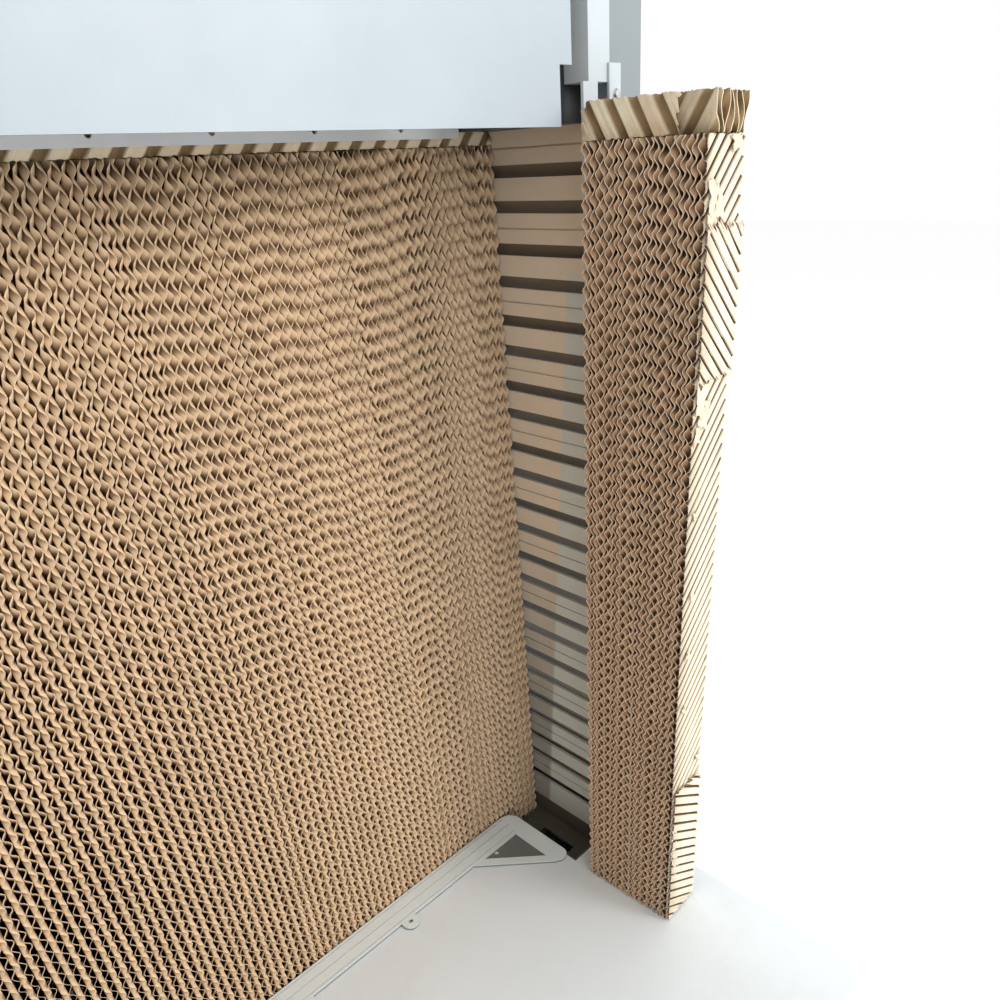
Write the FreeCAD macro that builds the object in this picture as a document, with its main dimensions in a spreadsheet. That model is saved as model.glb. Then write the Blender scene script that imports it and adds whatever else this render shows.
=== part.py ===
import FreeCAD, Part
import math
import os

import Sketcher

# Portable evaporative cooler for a greenhouse. Millimetres, +Z up, +Y towards the back.
# Places are stated about the cabinet: x from its middle, y from its front plane towards
# the back, z from the floor. The cells shift_x and shift_y then move every sub-part, so
# that the origin is the bottom centre of the whole object with its fan door open square.

CELLS = [
    ("shift_x", 175.0, "origin to the middle of the cabinet"),
    ("shift_y", 470.0, "origin to the front plane of the pad section"),
    ("half_width", 600.0, "half of the cabinet's width"),
    ("section_depth", 300.0, "depth of the pad section"),
    ("base_front", 350.0, "how far the base runs in front of the pad section"),
    ("base_low", 60.0, "underside of the tank"),
    ("deck_under", 321.0, "underside of the deck"),
    ("deck_top", 327.0, "top of the deck"),
    ("tank_wall", 6.0, "wall of the tank"),
    ("corner_round", 28.0, "corner radius of the tank and the deck"),
    ("rim_top", 331.0, "top of the pad rim"),
    ("rim_reach", 500.5, "middle to the outer side of the pad rim"),
    ("rim_front", 120.0, "front plane to the front edge of the rim"),
    ("rim_back", 156.0, "front plane to the back edge of the rim"),
    ("arm_front", 33.5, "front plane to the rounded end of a rim arm"),
    ("arm_wide", 24.0, "width of a rim arm"),
    ("web_reach", 84.0, "how far a gusset runs along the rim"),
    ("lug_pitch", 155.0, "spacing of the rim's lugs"),
    ("lug_middle", 45.5, "middle of the row of lugs"),
    ("lug_radius", 11.0, "radius of a lug"),
    ("lug_hole", 3.0, "radius of the hole in a lug"),
    ("tray_front", 150.0, "front plane to the front of the tray's rear run"),
    ("tray_back", 260.0, "front plane to the back of the tray"),
    ("tray_reach", 566.0, "middle to the outside of the tray"),
    ("tray_slot", 497.0, "middle to the inner side of a side run"),
    ("slot_front", 20.0, "front plane to the front of a side run"),
    ("tray_wall", 3.0, "wall of the tray"),
    ("tray_floor", 5.0, "floor of the tray"),
    ("pad_low", 293.0, "underside of the pads, on the tray"),
    ("pad_face", 156.5, "front plane to the air face of the rear pad"),
    ("pad_depth", 100.0, "thickness of the rear pad"),
    ("pad_reach", 559.5, "middle to the end of the rear pad"),
    ("pad_tall", 917.0, "height of the rear pad"),
    ("cap_tall", 25.0, "height of the distribution pad on it"),
    ("side_thick", 60.0, "thickness of a side pad"),
    ("side_wide", 125.0, "width of a side pad"),
    ("side_tall", 878.0, "height of a side pad"),
    ("side_cap", 30.0, "height of the distribution pad on it"),
    ("side_front", 29.0, "front plane to a seated side pad"),
    ("loose_x", 500.0, "nearest corner of the pad that stands on the deck, x"),
    ("loose_y", -133.0, "the same corner, y"),
    ("loose_lift", 1.2, "the same corner above the deck"),
    ("loose_turn", 2.5, "how far that pad is turned, degrees"),
    ("loose_lean", 0.8, "how far that pad leans to the right, degrees"),
    ("rest_gap", 0.3, "gap between parts that only rest together"),
    ("post_side", 19.0, "width of a retaining post"),
    ("post_in", 521.0, "middle to a retaining post"),
    ("post_top", 1251.0, "top of a retaining post"),
    ("block_in", 528.0, "middle to an upper post"),
    ("block_wide", 28.0, "width of an upper post"),
    ("sheet", 3.0, "thickness of frame sheet"),
    ("flange_wide", 44.0, "width of a corner post's flange"),
    ("return_deep", 40.0, "depth of a corner post's return"),
    ("plate", 4.0, "thickness of a louvre plate, cover or panel"),
    ("plate_in", 561.0, "middle to a side louvre plate"),
    ("rear_plate", 262.0, "front plane to the rear louvre plate"),
    ("slot_high", 1186.0, "middle of the highest pair's upper slot"),
    ("slot_pair", 33.0, "upper slot to lower slot in a pair"),
    ("slot_pitch", 74.0, "pair to pair"),
    ("slot_tall", 12.0, "height of a slot"),
    ("hood_out", 27.0, "how far a hood stands out"),
    ("cover_low", 1240.0, "underside of the top cover"),
    ("cover_top", 1400.0, "top of the cooler"),
    ("fascia_low", 1218.0, "bottom of the front fascia"),
    ("fascia_reach", 508.0, "middle to the end of the fascia"),
    ("notch_wide", 15.0, "width of the fascia's corner notches"),
    ("notch_top", 1262.0, "top of those notches"),
    ("skirt_low", 1217.0, "bottom of the trough's front skirt"),
    ("skirt_front", 150.0, "front plane to that skirt"),
    ("skirt_reach", 509.0, "middle to the end of the skirt"),
    ("trough_low", 1236.0, "underside of the water trough"),
    ("side_trough_low", 1222.0, "underside of the troughs over the side pads"),
    ("trough_top", 1288.0, "top of the water trough"),
    ("pin_out", 12.0, "cabinet side to the hinge axis"),
    ("pin_front", 6.0, "front plane to the hinge axis"),
    ("pin_radius", 5.0, "radius of a hinge pin"),
    ("door_gap", 2.0, "hinge axis to the rim of the fan door"),
    ("door_deep", 335.0, "depth of the fan door"),
    ("door_wide", 1200.0, "width of the fan door"),
    ("door_low", 337.0, "bottom of the fan door"),
    ("door_top", 1392.0, "top of the fan door"),
    ("door_wall", 5.0, "wall of the fan door"),
    ("outlet_half", 440.0, "half of the square outlet"),
    ("fan_high", 864.5, "height of the fan axis"),
    ("fan_radius", 430.0, "inner radius of the fan ring"),
    ("hub_radius", 85.0, "radius of the fan hub"),
    ("shaft_radius", 9.0, "radius of the fan shaft"),
    ("running_fit", 0.05, "radial clearance of a turning fit"),
]
D = {alias: value for alias, value, _ in CELLS}

doc = FreeCAD.newDocument("evaporative_cooler")
cells = doc.addObject("Spreadsheet::Sheet", "dims")
for row, (alias, value, meaning) in enumerate(CELLS, 1):
    cells.set(f"A{row}", alias)
    cells.set(f"B{row}", str(value))
    cells.set(f"C{row}", meaning)
    cells.setAlias(f"B{row}", alias)
doc.recompute()

V = FreeCAD.Vector
UP = V(0, 0, 1)
RIGHT = V(1, 0, 0)
BACK = V(0, 1, 0)
SIDES = (-1, 1)
finished = {}

# Worked out from the cells: the hinge axis and the open fan door.
PIN_X = -D["half_width"] - D["pin_out"]
PIN_Y = -D["pin_front"]
DOOR_IN = PIN_X - D["door_gap"]
DOOR_OUT = DOOR_IN - D["door_deep"]
DOOR_NEAR = PIN_Y - D["pin_out"]
DOOR_FAR = DOOR_NEAR - D["door_wide"]
FAN_Y = DOOR_NEAR - D["door_wide"] / 2
FAN_Z = D["fan_high"]


def bind(obj, **formulas):
    """Bind properties to formulas over the cells. A double underscore stands for a dot."""
    for prop, formula in formulas.items():
        words = [f"dims.{word}" if word in D else word for word in str(formula).split()]
        obj.setExpression(prop.replace("__", "."), " ".join(words))
    return obj


def settle(name, obj, x="0", y="0", z="0"):
    """Name a finished sub-part and move it from the cabinet's frame to the object's."""
    obj.Label = name
    bind(obj, Placement__Base__x=f"shift_x + {x}", Placement__Base__y=f"shift_y + {y}",
         Placement__Base__z=z)
    finished[name] = obj


def box(name, x, y, z, wide, deep, tall):
    """A bound block with its low corner at x, y, z."""
    made = doc.addObject("Part::Box", name)
    bind(made, Placement__Base__x=x, Placement__Base__y=y, Placement__Base__z=z)
    return bind(made, Length=wide, Width=deep, Height=tall)


def cut(name, base, tool):
    made = doc.addObject("Part::Cut", name)
    made.Base = base
    made.Tool = tool
    return made


def group(name, *members):
    """Separate solids in one node."""
    made = doc.addObject("Part::Compound", name)
    made.Links = list(members)
    return made


def fuse(name, *members):
    made = doc.addObject("Part::MultiFuse", name)
    made.Shapes = list(members)
    return made


def feature(name, shape):
    """A sub-part from a finished shape, which keeps the place it was given."""
    made = doc.addObject("Part::Feature", name)
    made.Shape = shape
    own = made.Placement.Base
    settle(name, made, str(own.x), str(own.y), str(own.z))


def outline(body, plane_role, name, corners):
    """A closed sketch in one of a body's planes, each corner placed by two bound distances."""
    sketch = body.newObject("Sketcher::SketchObject", name)
    plane = next(item for item in body.Origin.OriginFeatures if item.Role == plane_role)
    sketch.AttachmentSupport = [(plane, "")]
    sketch.MapMode = "FlatFace"
    count = len(corners)
    turn = 2 * math.pi / count
    start = [V(math.cos(turn * k), math.sin(turn * k), 0) * D["half_width"] for k in range(count)]
    for k in range(count):
        sketch.addGeometry(Part.LineSegment(start[k], start[(k + 1) % count]), False)
    for k in range(count):
        sketch.addConstraint(Sketcher.Constraint("Coincident", k, 2, (k + 1) % count, 1))
    for k, (across, along) in enumerate(corners):
        for kind, formula, value in (("DistanceX", across, start[k].x), ("DistanceY", along, start[k].y)):
            index = sketch.addConstraint(Sketcher.Constraint(kind, -1, 1, k, 1, value))
            sketch.renameConstraint(index, f"{kind}_{k}")
            bind(sketch, **{f"Constraints__{kind}_{k}": formula})
    return sketch


def padded(name, plane_role, corners, length):
    """A PartDesign body with one outline, padded."""
    body = doc.addObject("PartDesign::Body", name)
    pad = body.newObject("PartDesign::Pad", f"{name}_pad")
    pad.Profile = outline(body, plane_role, f"{name}_outline", corners)
    bind(pad, Length=length)
    return body


def turned(name, corners, axis=UP):
    """A PartDesign body turned from corners given as radius and height, set along an axis."""
    body = doc.addObject("PartDesign::Body", name)
    spin = body.newObject("PartDesign::Revolution", f"{name}_turn")
    spin.Profile = outline(body, "XZ_Plane", f"{name}_section", corners)
    spin.ReferenceAxis = (spin.Profile[0], ["V_Axis"])
    spin.Angle = 360
    body.Placement.Rotation = FreeCAD.Rotation(UP, axis)
    return body


def block(x, y, z, wide, deep, tall):
    return Part.makeBox(wide, deep, tall, V(x, y, z))


def rod(radius, start, end):
    return Part.makeCylinder(radius, (end - start).Length, start, end - start)


def joined(shapes):
    return shapes[0].multiFuse(shapes[1:]).removeSplitter()


def rounded(x_low, y_low, x_high, y_high, radius, low, tall):
    """An upright block with its four corners rounded."""
    raw = block(x_low, y_low, low, x_high - x_low, y_high - y_low, tall)
    return raw.makeFillet(radius, [edge for edge in raw.Edges if abs(edge.tangentAt(0).z) > 0.9])


def prism(corners, way):
    """A polygon moved along a vector."""
    return Part.Face(Part.makePolygon([*corners, corners[0]])).extrude(way)


# ------------------------------------------------------------------ base
DRAIN = V(D["half_width"], -260, 96)
DRAIN_RADIUS = 16.0
INLET = V(D["half_width"], -150, 262)
INLET_RADIUS = 9.0
SPILL = V(-480, -250, 0)
SPILL_RADIUS = 14.0
SPILL_TOP = 285.0
RISER = V(-385, 80, 0)
RISER_RADIUS = 10.0
HATCH = (-250.0, -290.0, 110.0, -110.0)
CLEAR = 1.5
REST_GAP = 0.3


def base_tank():
    """An open tub with swaged panels, a drain, an inlet and an overflow."""
    half, front, back = D["half_width"], -D["base_front"], D["section_depth"]
    low, wall, corner = D["base_low"], D["tank_wall"], D["corner_round"]
    tall = D["deck_under"] - low
    outer = rounded(-half, front, half, back, corner, low, tall)
    hollow = rounded(-half + wall, front + wall, half - wall, back - wall, corner - wall, low + wall, tall)
    swage_deep, swage_wide, swages = 2.5, 130, 6
    gap = (2 * half - 2 * corner - swages * swage_wide) / (swages + 1)
    starts = [-half + corner + gap + k * (gap + swage_wide) for k in range(swages)]
    swage = [block(x, front, low + 50, swage_wide, swage_deep, 160) for x in starts]
    holes = [rod(DRAIN_RADIUS, DRAIN + RIGHT, DRAIN - RIGHT * 2 * wall),
             rod(INLET_RADIUS, INLET + RIGHT, INLET - RIGHT * 2 * wall),
             rod(SPILL_RADIUS, SPILL + UP * (low - 1), SPILL + UP * (low + wall + 1))]
    feature("base_tank", outer.cut([hollow, *swage, *holes]))


def deck():
    """The deck over the tank: open over the pad tray, the riser and the pump hatch."""
    low = D["deck_under"]
    tall = D["deck_top"] - low
    plate = rounded(-D["half_width"], -D["base_front"], D["half_width"], D["section_depth"],
                    D["corner_round"], low, tall)
    opening = tray_plan(low - 1, tall + 2)
    x_low, y_low, x_high, y_high = HATCH
    hatch = block(x_low, y_low, low - 1, x_high - x_low, y_high - y_low, tall + 2)
    riser = rod(RISER_RADIUS + CLEAR, RISER + UP * (low - 1), RISER + UP * (D["deck_top"] + 1))
    feature("deck", plate.cut([opening, hatch, riser]))
    lip, lid_tall, bar = 14, 4, 12
    seat = D["deck_top"] + REST_GAP
    lid = rounded(x_low - lip, y_low - lip, x_high + lip, y_high + lip, lip, seat, lid_tall)
    grips = [block((x_low + x_high) / 2 - 45, y - bar / 2, seat + lid_tall, 90, bar, lid_tall)
             for y in (y_low + 3 * bar, y_high - 3 * bar)]
    feature("pump_hatch", joined([lid, *grips]))


def tray_plan(low, tall):
    """The U-shaped plan of the pad tray, as a block."""
    reach, slot, back = D["tray_reach"], D["tray_slot"], D["tray_back"]
    runs = [block(-reach, D["tray_front"], low, 2 * reach, back - D["tray_front"], tall)]
    runs += [block(x, D["slot_front"], low, reach - slot, back - D["slot_front"], tall)
             for x in (-reach, slot)]
    return joined(runs)


def pad_tray():
    """The U-shaped tray that the pads stand in. It drains back to the tank."""
    reach, slot, back, wall = D["tray_reach"], D["tray_slot"], D["tray_back"], D["tray_wall"]
    low = D["pad_low"] - D["tray_floor"]
    tall = D["deck_top"] - low
    hollow = [block(-reach + wall, D["tray_front"] + wall, D["pad_low"], 2 * (reach - wall),
                    back - D["tray_front"] - 2 * wall, tall)]
    hollow += [block(x + wall, D["slot_front"] + wall, D["pad_low"], reach - slot - 2 * wall,
                     back - D["slot_front"] - 2 * wall, tall) for x in (-reach, slot)]
    drain_wide, drain_deep, drains, pitch = 60, 14, 7, 150
    rear = [block(pitch * (k - drains // 2) - drain_wide / 2, 200, low - 1, drain_wide, drain_deep, 9)
            for k in range(drains)]
    middle = (reach + slot) / 2
    side = [block(s * middle - drain_deep / 2, 60, low - 1, drain_deep, drain_wide, 9) for s in SIDES]
    feature("pad_tray", tray_plan(low, tall).cut([*hollow, *rear, *side]))


def pad_rim():
    """The rim in front of the rear pad: a grooved strip, lugs, two arms and their gussets."""
    low = D["deck_top"]
    tall = D["rim_top"] - low
    reach, front, back = D["rim_reach"], D["rim_front"], D["rim_back"]
    end, arm, bend = D["arm_front"], D["arm_wide"], 20
    solids = [block(-reach + bend, front, low, 2 * (reach - bend), back - front, tall)]
    pockets = []
    for side in SIDES:
        inner = side * (reach - arm)
        corner = V(side * (reach - bend), back - bend, low)
        solids.append(rod(bend, corner, corner + UP * tall))
        straight = back - bend - end - arm / 2
        solids.append(block(min(inner, side * reach), end + arm / 2, low, arm, straight, tall))
        tip = V(side * (reach - arm / 2), end + arm / 2, low)
        solids.append(rod(arm / 2, tip, tip + UP * tall))
        web = [V(side * (reach - arm - D["web_reach"]), front + 1, low), V(inner + side, front + 1, low),
               V(inner + side, end + 4, low)]
        solids.append(prism(web, UP * tall))
        inset = [V(side * (reach - arm - D["web_reach"] + 20), front - 3, low + 1),
                 V(inner - side * 2, front - 3, low + 1),
                 V(inner - side * 2, end + 22, low + 1)]
        pockets.append(prism(inset, UP * tall))
    for x in lug_places():
        base = V(x, front - 6, low)
        solids.append(rod(D["lug_radius"], base, base + UP * tall))
        solids.append(block(x - D["lug_radius"], base.y, low, 2 * D["lug_radius"], 7, tall))
        pockets.append(rod(D["lug_hole"], base - UP, base + UP * (tall + 1)))
    groove_wide, groove_deep = 1.0, 1.2
    for step in (3.5, 18.0, 31.5):
        groove_low = D["rim_top"] - groove_deep
        pockets.append(block(-reach + bend, front + step, groove_low, 2 * (reach - bend), groove_wide, 3))
    feature("pad_rim", joined(solids).cut(pockets))


def lug_places():
    """The lugs stand at an even pitch."""
    return [D["lug_middle"] + D["lug_pitch"] * (k - 2.5) for k in range(6)]


def feet():
    """Four levelling feet: a rubber pad under a threaded stud with its nut."""
    pads, studs = [], []
    inset = 75
    for k, x in enumerate((-D["half_width"] + inset, D["half_width"] - inset)):
        for n, y in enumerate((-D["base_front"] + inset, D["section_depth"] - inset)):
            foot = [("0", "0"), ("34", "0"), ("34", "8"), ("24", "18"), ("0", "18")]
            pad = turned(f"foot_pad_{k}{n}", foot)
            bind(pad, Placement__Base__x=str(x), Placement__Base__y=str(y))
            pads.append(pad)
            screw = [("0", "18"), ("8", "18"), ("8", "46"), ("16", "46"), ("16", "base_low"),
                     ("0", "base_low")]
            stud = turned(f"foot_stud_{k}{n}", screw)
            bind(stud, Placement__Base__x=str(x), Placement__Base__y=str(y))
            studs.append(stud)
    settle("foot_pads", group("foot_pads", *pads))
    settle("foot_studs", group("foot_studs", *studs))


# ------------------------------------------------------------------ frame
def posts():
    """Retaining posts, upper posts with brackets, and four folded corner posts."""
    retaining, corners = [], {"front": [], "rear": []}
    for side, label in ((-1, "left"), (1, "right")):
        low_x = "post_in" if side > 0 else "0 - post_in - post_side"
        retaining.append(box(f"retaining_post_{label}", low_x, "0", "deck_top", "post_side", "sheet",
                             "post_top - deck_top"))
        for end, y_flange, y_return in (("front", "0", "sheet"),
                                        ("rear", "section_depth - sheet", "section_depth - return_deep")):
            top = "cover_top - plate" if end == "front" else "cover_low"
            deep = "return_deep - sheet"
            x_flange = "half_width - flange_wide" if side > 0 else "0 - half_width"
            x_return = "half_width - sheet" if side > 0 else "0 - half_width"
            flange = box(f"flange_{end}_{label}", x_flange, y_flange, "deck_top", "flange_wide", "sheet",
                         f"{top} - deck_top")
            fold = box(f"return_{end}_{label}", x_return, y_return, "deck_top", "sheet", deep,
                       "cover_low - deck_top")
            corners[end].append(fuse(f"corner_post_{end}_{label}", flange, fold))
    settle("retaining_posts", group("retaining_posts", *retaining))
    for end, members in corners.items():
        settle(f"{end}_corner_posts", group(f"{end}_corner_posts", *members))
    uppers, brackets, screws = [], [], []
    for side in SIDES:
        x_low = "block_in" if side > 0 else "0 - block_in - block_wide"
        uppers.append(box(f"upper_post_{side + 1}", x_low, "0", "post_top", "block_wide", "block_wide",
                          "cover_top - plate - post_top"))
        x_low = "block_in + block_wide - 3" if side > 0 else "0 - block_in - block_wide - 12.5"
        brackets.append(box(f"bracket_{side + 1}", x_low, "-2.5", "post_top - 22", "15.5", "2.5", "36"))
        head = [("0", "0"), ("4.5", "0"), ("3.2", "2.4"), ("0", "2.6")]
        screw = turned(f"screw_{side + 1}", head, -BACK)
        bind(screw, Placement__Base__x=f"{side} * 562.5", Placement__Base__y="-2.5",
             Placement__Base__z="post_top - 9")
        screws.append(screw)
    settle("upper_posts", group("upper_posts", *uppers))
    settle("post_brackets", group("post_brackets", *brackets))
    settle("bracket_screws", group("bracket_screws", *screws))


def slot_levels():
    """Middles of the louvre slots, two to a pair, from the top down, while the hood clears the deck."""
    levels = [D["slot_high"] - D["slot_pitch"] * k - drop
              for k in range(SLOT_PAIRS) for drop in (0, D["slot_pair"])]
    return [level for level in levels if level - HOOD_DROP > D["deck_top"]]


SLOT_PAIRS = 12
HOOD_LIFT = 0.8
HOOD_DROP = 40.0


def louvre(length, rail, ribs):
    """A louvre panel in its own frame: plate in x 0 to plate, along y, hoods on +x."""
    low, top, plate, tall = D["deck_top"], D["cover_low"], D["plate"], D["slot_tall"]
    hood_thick, groove = 2.2, 1.6
    solids = [block(0, 0, low, plate, length, top - low)]
    gaps = []
    for level in slot_levels():
        high = level + tall / 2 + HOOD_LIFT
        out = D["hood_out"] + plate
        hood = [V(plate - 1, 0, high + hood_thick), V(out, 0, high + hood_thick - HOOD_DROP),
                V(out, 0, high - HOOD_DROP), V(plate - 1, 0, high)]
        hood = [corner + BACK * (rail - HOOD_LIFT) for corner in hood]
        solids.append(prism(hood, BACK * (length - 2 * rail + 2 * HOOD_LIFT)))
        gaps.append(block(-1, rail, level - tall / 2, plate + 1, length - 2 * rail, tall))
    for k in range(SLOT_PAIRS):
        middle = D["slot_high"] + (D["slot_pitch"] - D["slot_pair"]) / 2 - D["slot_pitch"] * k
        gaps.append(block(-1, rail, middle - groove / 2, 1 + groove, length - 2 * rail, groove))
    panel = joined(solids).cut(gaps)
    bay = (length - 2 * rail) / (ribs + 1)
    stiff = [block(0, rail + bay * (k + 1) - 5, low + 4, plate, 10, top - low - 8) for k in range(ribs)]
    return joined([panel, *stiff]) if stiff else panel


def louvres():
    """Two side louvre panels and the rear one."""
    side_long = D["section_depth"] - 2 * D["sheet"]
    right = louvre(side_long, 9, 0)
    right.translate(V(D["plate_in"], D["sheet"], 0))
    feature("louvre_right", right)
    feature("louvre_left", right.mirror(V(0, 0, 0), RIGHT))
    rear = louvre(2 * 554.0, 10, 2)
    rear.rotate(V(0, 0, 0), UP, 90)
    rear.translate(V(554.0, D["rear_plate"], 0))
    feature("louvre_rear", rear)


# ------------------------------------------------------------------ pads
def pads():
    """Cellulose pads, each with a distribution pad on top. One side pad stands out on the deck."""
    rear = [("rear_pad", "pad_tall", "pad_low"), ("rear_cap", "cap_tall", "pad_low + pad_tall")]
    for name, tall, low in rear:
        pad = box(name, "0", "0", "0", "2 * pad_reach", "pad_depth", tall)
        settle(name, pad, "-1 * pad_reach", "pad_face", low)
    side = [("left_pad", "side_tall", "pad_low"), ("left_cap", "side_cap", "pad_low + side_tall")]
    for name, tall, low in side:
        pad = box(name, "0", "0", "0", "side_thick", "side_wide", tall)
        settle(name, pad, "rest_gap - plate_in", "side_front", low)
    pose = FreeCAD.Rotation(UP, D["loose_turn"]) * FreeCAD.Rotation(BACK, D["loose_lean"])
    top = pose.multVec(UP * D["side_tall"])
    for name, tall, foot in (("right_pad", "side_tall", V(0, 0, 0)), ("right_cap", "side_cap", top)):
        pad = box(name, "0", "0", "0", "side_thick", "side_wide", tall)
        pad.Placement.Rotation = pose
        settle(name, pad, f"loose_x + {foot.x}", f"loose_y + {foot.y}", f"deck_top + loose_lift + {foot.z}")


# ------------------------------------------------------------------ water
PUMP = V(-90, -200, 0)
FLOAT_DROOP = 30.0


def water():
    """Pump, riser, spray pipe, trough, skirt, inlet float valve, drain plug and overflow."""
    floor = D["base_low"] + D["tank_wall"]
    wall = D["tray_wall"]
    reach, front = D["pad_reach"], D["skirt_front"] + wall
    low, top = D["trough_low"], D["trough_top"]
    back = D["pad_face"] + D["pad_depth"]
    pipe_z = low + 28
    run = D["side_thick"] + 1
    outer = block(-reach, front, low, 2 * reach, back - front, top - low)
    hollow = block(-reach + wall, front + wall, low + wall, 2 * (reach - wall), back - front - 2 * wall,
                   top)
    drips = [rod(2.5, V(x, 205, low - 1), V(x, 205, low + wall + 1)) for x in range(-540, 541, 60)]
    entry = rod(RISER_RADIUS + 1, V(RISER.x, front - 1, pipe_z), V(RISER.x, front + wall + 1, pipe_z))
    feed_wide, feed_low = 30, top - 24
    run_in = D["skirt_reach"] + D["rest_gap"]
    run = reach - run_in
    feeds, side_runs = [], []
    for x in (-reach, run_in):
        middle = x + run / 2
        feeds.append(block(middle - feed_wide / 2, front - wall - 1, feed_low, feed_wide, 2 * wall + 2, top))
        side_front, side_low = D["side_front"], D["side_trough_low"]
        shell = block(x, side_front, side_low, run, front - side_front, top - side_low)
        inside = block(x + wall, side_front + wall, side_low + wall, run - 2 * wall,
                       front - side_front - 2 * wall, top)
        holes = [rod(2.5, V(middle, y, side_low - 1), V(middle, y, side_low + wall + 1))
                 for y in range(50, 141, 30)]
        side_runs.append(shell.cut([inside, feeds[-1], *holes]))
    feature("water_trough", outer.cut([hollow, *drips, entry, *feeds]))
    feature("side_troughs", Part.makeCompound(side_runs))

    skirt = block(-D["skirt_reach"], D["skirt_front"], D["skirt_low"], 2 * D["skirt_reach"], wall,
                  top - D["skirt_low"])
    hole_z = D["skirt_low"] + 8
    dots = [rod(2.5, V(348 - 91 * k, D["skirt_front"] - 1, hole_z), V(348 - 91 * k, front + 1, hole_z))
            for k in range(-1, 9)]
    passage = rod(RISER_RADIUS + 1, V(RISER.x, D["skirt_front"] - 1, pipe_z), V(RISER.x, front + 1, pipe_z))
    feature("trough_skirt", skirt.cut([*dots, passage]))

    spray_y, spray_r = 215.0, 10.0
    spray = rod(spray_r, V(-reach + 8, spray_y, pipe_z), V(reach - 8, spray_y, pipe_z))
    core = rod(spray_r - 2, V(-reach + 10, spray_y, pipe_z), V(reach - 10, spray_y, pipe_z))
    jets = [rod(1.2, V(x, spray_y, pipe_z - spray_r - 1), V(x, spray_y, pipe_z))
            for x in range(-525, 526, 50)]
    feature("spray_pipe", spray.cut([core, *jets]))

    pump_top = floor + 135
    bend_low = V(RISER.x, PUMP.y, pump_top + 15)
    path = [PUMP + UP * pump_top, PUMP + UP * (pump_top + 15), bend_low, V(RISER.x, RISER.y, pump_top + 15),
            V(RISER.x, RISER.y, pipe_z), V(RISER.x, spray_y - spray_r, pipe_z)]
    outside, inside = [], []
    for start, end in zip(path, path[1:]):
        outside.append(rod(RISER_RADIUS, start, end))
        inside.append(rod(RISER_RADIUS - 2, start, end))
    for bend in path[1:-1]:
        outside.append(Part.makeSphere(RISER_RADIUS, bend))
        inside.append(Part.makeSphere(RISER_RADIUS - 2, bend))
    feature("riser_pipe", joined(outside).cut(joined(inside)))

    motor = turned("water_pump", [("0", "24"), ("38", "24"), ("42", "30"), ("42", "105"), ("30", "122"),
                                  ("14", "122"), ("14", "135"), ("0", "135")])
    settle("water_pump", motor, str(PUMP.x), str(PUMP.y), str(floor))
    shell = rod(60, PUMP + UP * floor, PUMP + UP * (floor + 24))
    shell = shell.cut(rod(56, PUMP + UP * (floor - 1), PUMP + UP * (floor + 20)))
    slits = [block(PUMP.x - 61, PUMP.y - 3, floor + 3, 122, 6, 14)]
    for k in range(1, 6):
        slit = slits[0].copy()
        slit.rotate(PUMP, UP, 30 * k)
        slits.append(slit)
    feature("pump_strainer", shell.cut(slits))

    wall_in = INLET - RIGHT * D["tank_wall"]
    stem = rod(INLET_RADIUS, wall_in - RIGHT * 30, INLET + RIGHT * 10)
    nut = rod(14, INLET, INLET + RIGHT * 8)
    tail = rod(7, INLET + RIGHT * 8, INLET + RIGHT * 24)
    head = block(wall_in.x - 34, INLET.y - 14, INLET.z - 16, 34, 28, 32)
    ears = [block(wall_in.x - 50, INLET.y + s * 10 - 2.5, INLET.z - 16, 17, 5, 16) for s in SIDES]
    bore = rod(4, wall_in - RIGHT * 35, INLET + RIGHT * 25)
    pivot = V(wall_in.x - 43, INLET.y, INLET.z - 8)
    pin = rod(2, pivot - BACK * 12.5, pivot + BACK * 12.5)
    valve = joined([stem, nut, tail, head, *ears, pin]).cut(bore)
    feature("inlet_valve", valve)
    eye = rod(6, pivot - BACK * 6, pivot + BACK * 6)
    lever = rod(2.5, pivot - RIGHT * 4, pivot - RIGHT * 150)
    arm = joined([eye, lever]).cut(rod(2.05, pivot - BACK * 7, pivot + BACK * 7))
    ball = Part.makeSphere(32, pivot - RIGHT * 166).cut(lever)
    for name, piece in (("float_arm", arm), ("float_ball", ball)):
        piece.rotate(pivot, BACK, -FLOAT_DROOP)
        feature(name, piece)

    plug = turned("drain_plug", [("0", "-20"), ("15.9", "-20"), ("15.9", "0"), ("23", "0"), ("23", "10"),
                                 ("12", "12"), ("12", "24"), ("0", "24")], RIGHT)
    settle("drain_plug", plug, str(DRAIN.x), str(DRAIN.y), str(DRAIN.z))
    spill = rod(SPILL_RADIUS, SPILL + UP * (D["base_low"] - 15), SPILL + UP * SPILL_TOP)
    bore = rod(SPILL_RADIUS - 2.5, SPILL + UP * (D["base_low"] - 16), SPILL + UP * (SPILL_TOP + 1))
    spill = spill.cut(bore)
    feature("overflow_pipe", spill)


# ------------------------------------------------------------------ covers
def covers():
    """The top cover, and the fascia that closes its front between the posts."""
    tall = "cover_top - cover_low"
    shell = box("cover_shell", "0 - half_width", "sheet", "cover_low", "2 * half_width",
                "section_depth - sheet", tall)
    hollow = box("cover_hollow", "0 - half_width + plate", "0 - plate", "cover_low - plate",
                 "2 * ( half_width - plate )", "section_depth", tall)
    settle("top_cover", cut("top_cover", shell, hollow))
    right = [("fascia_reach - notch_wide", "fascia_low"), ("fascia_reach - notch_wide", "notch_top"),
             ("fascia_reach", "notch_top"), ("fascia_reach", "cover_top - plate")]
    left = [(f"0 - ( {across} )", along) for across, along in reversed(right)]
    corners = left + right
    fascia = padded("front_fascia", "XZ_Plane", corners, "plate")
    settle("front_fascia", fascia, "0", "plate + 1")


# ------------------------------------------------------------------ fan door
RING_BACK = 99.0
RING_LONG = 150.0
BRACKET_X = DOOR_IN - 86.0
MOTOR_LONG = 70.0
HUB_LONG = 80.0


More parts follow.
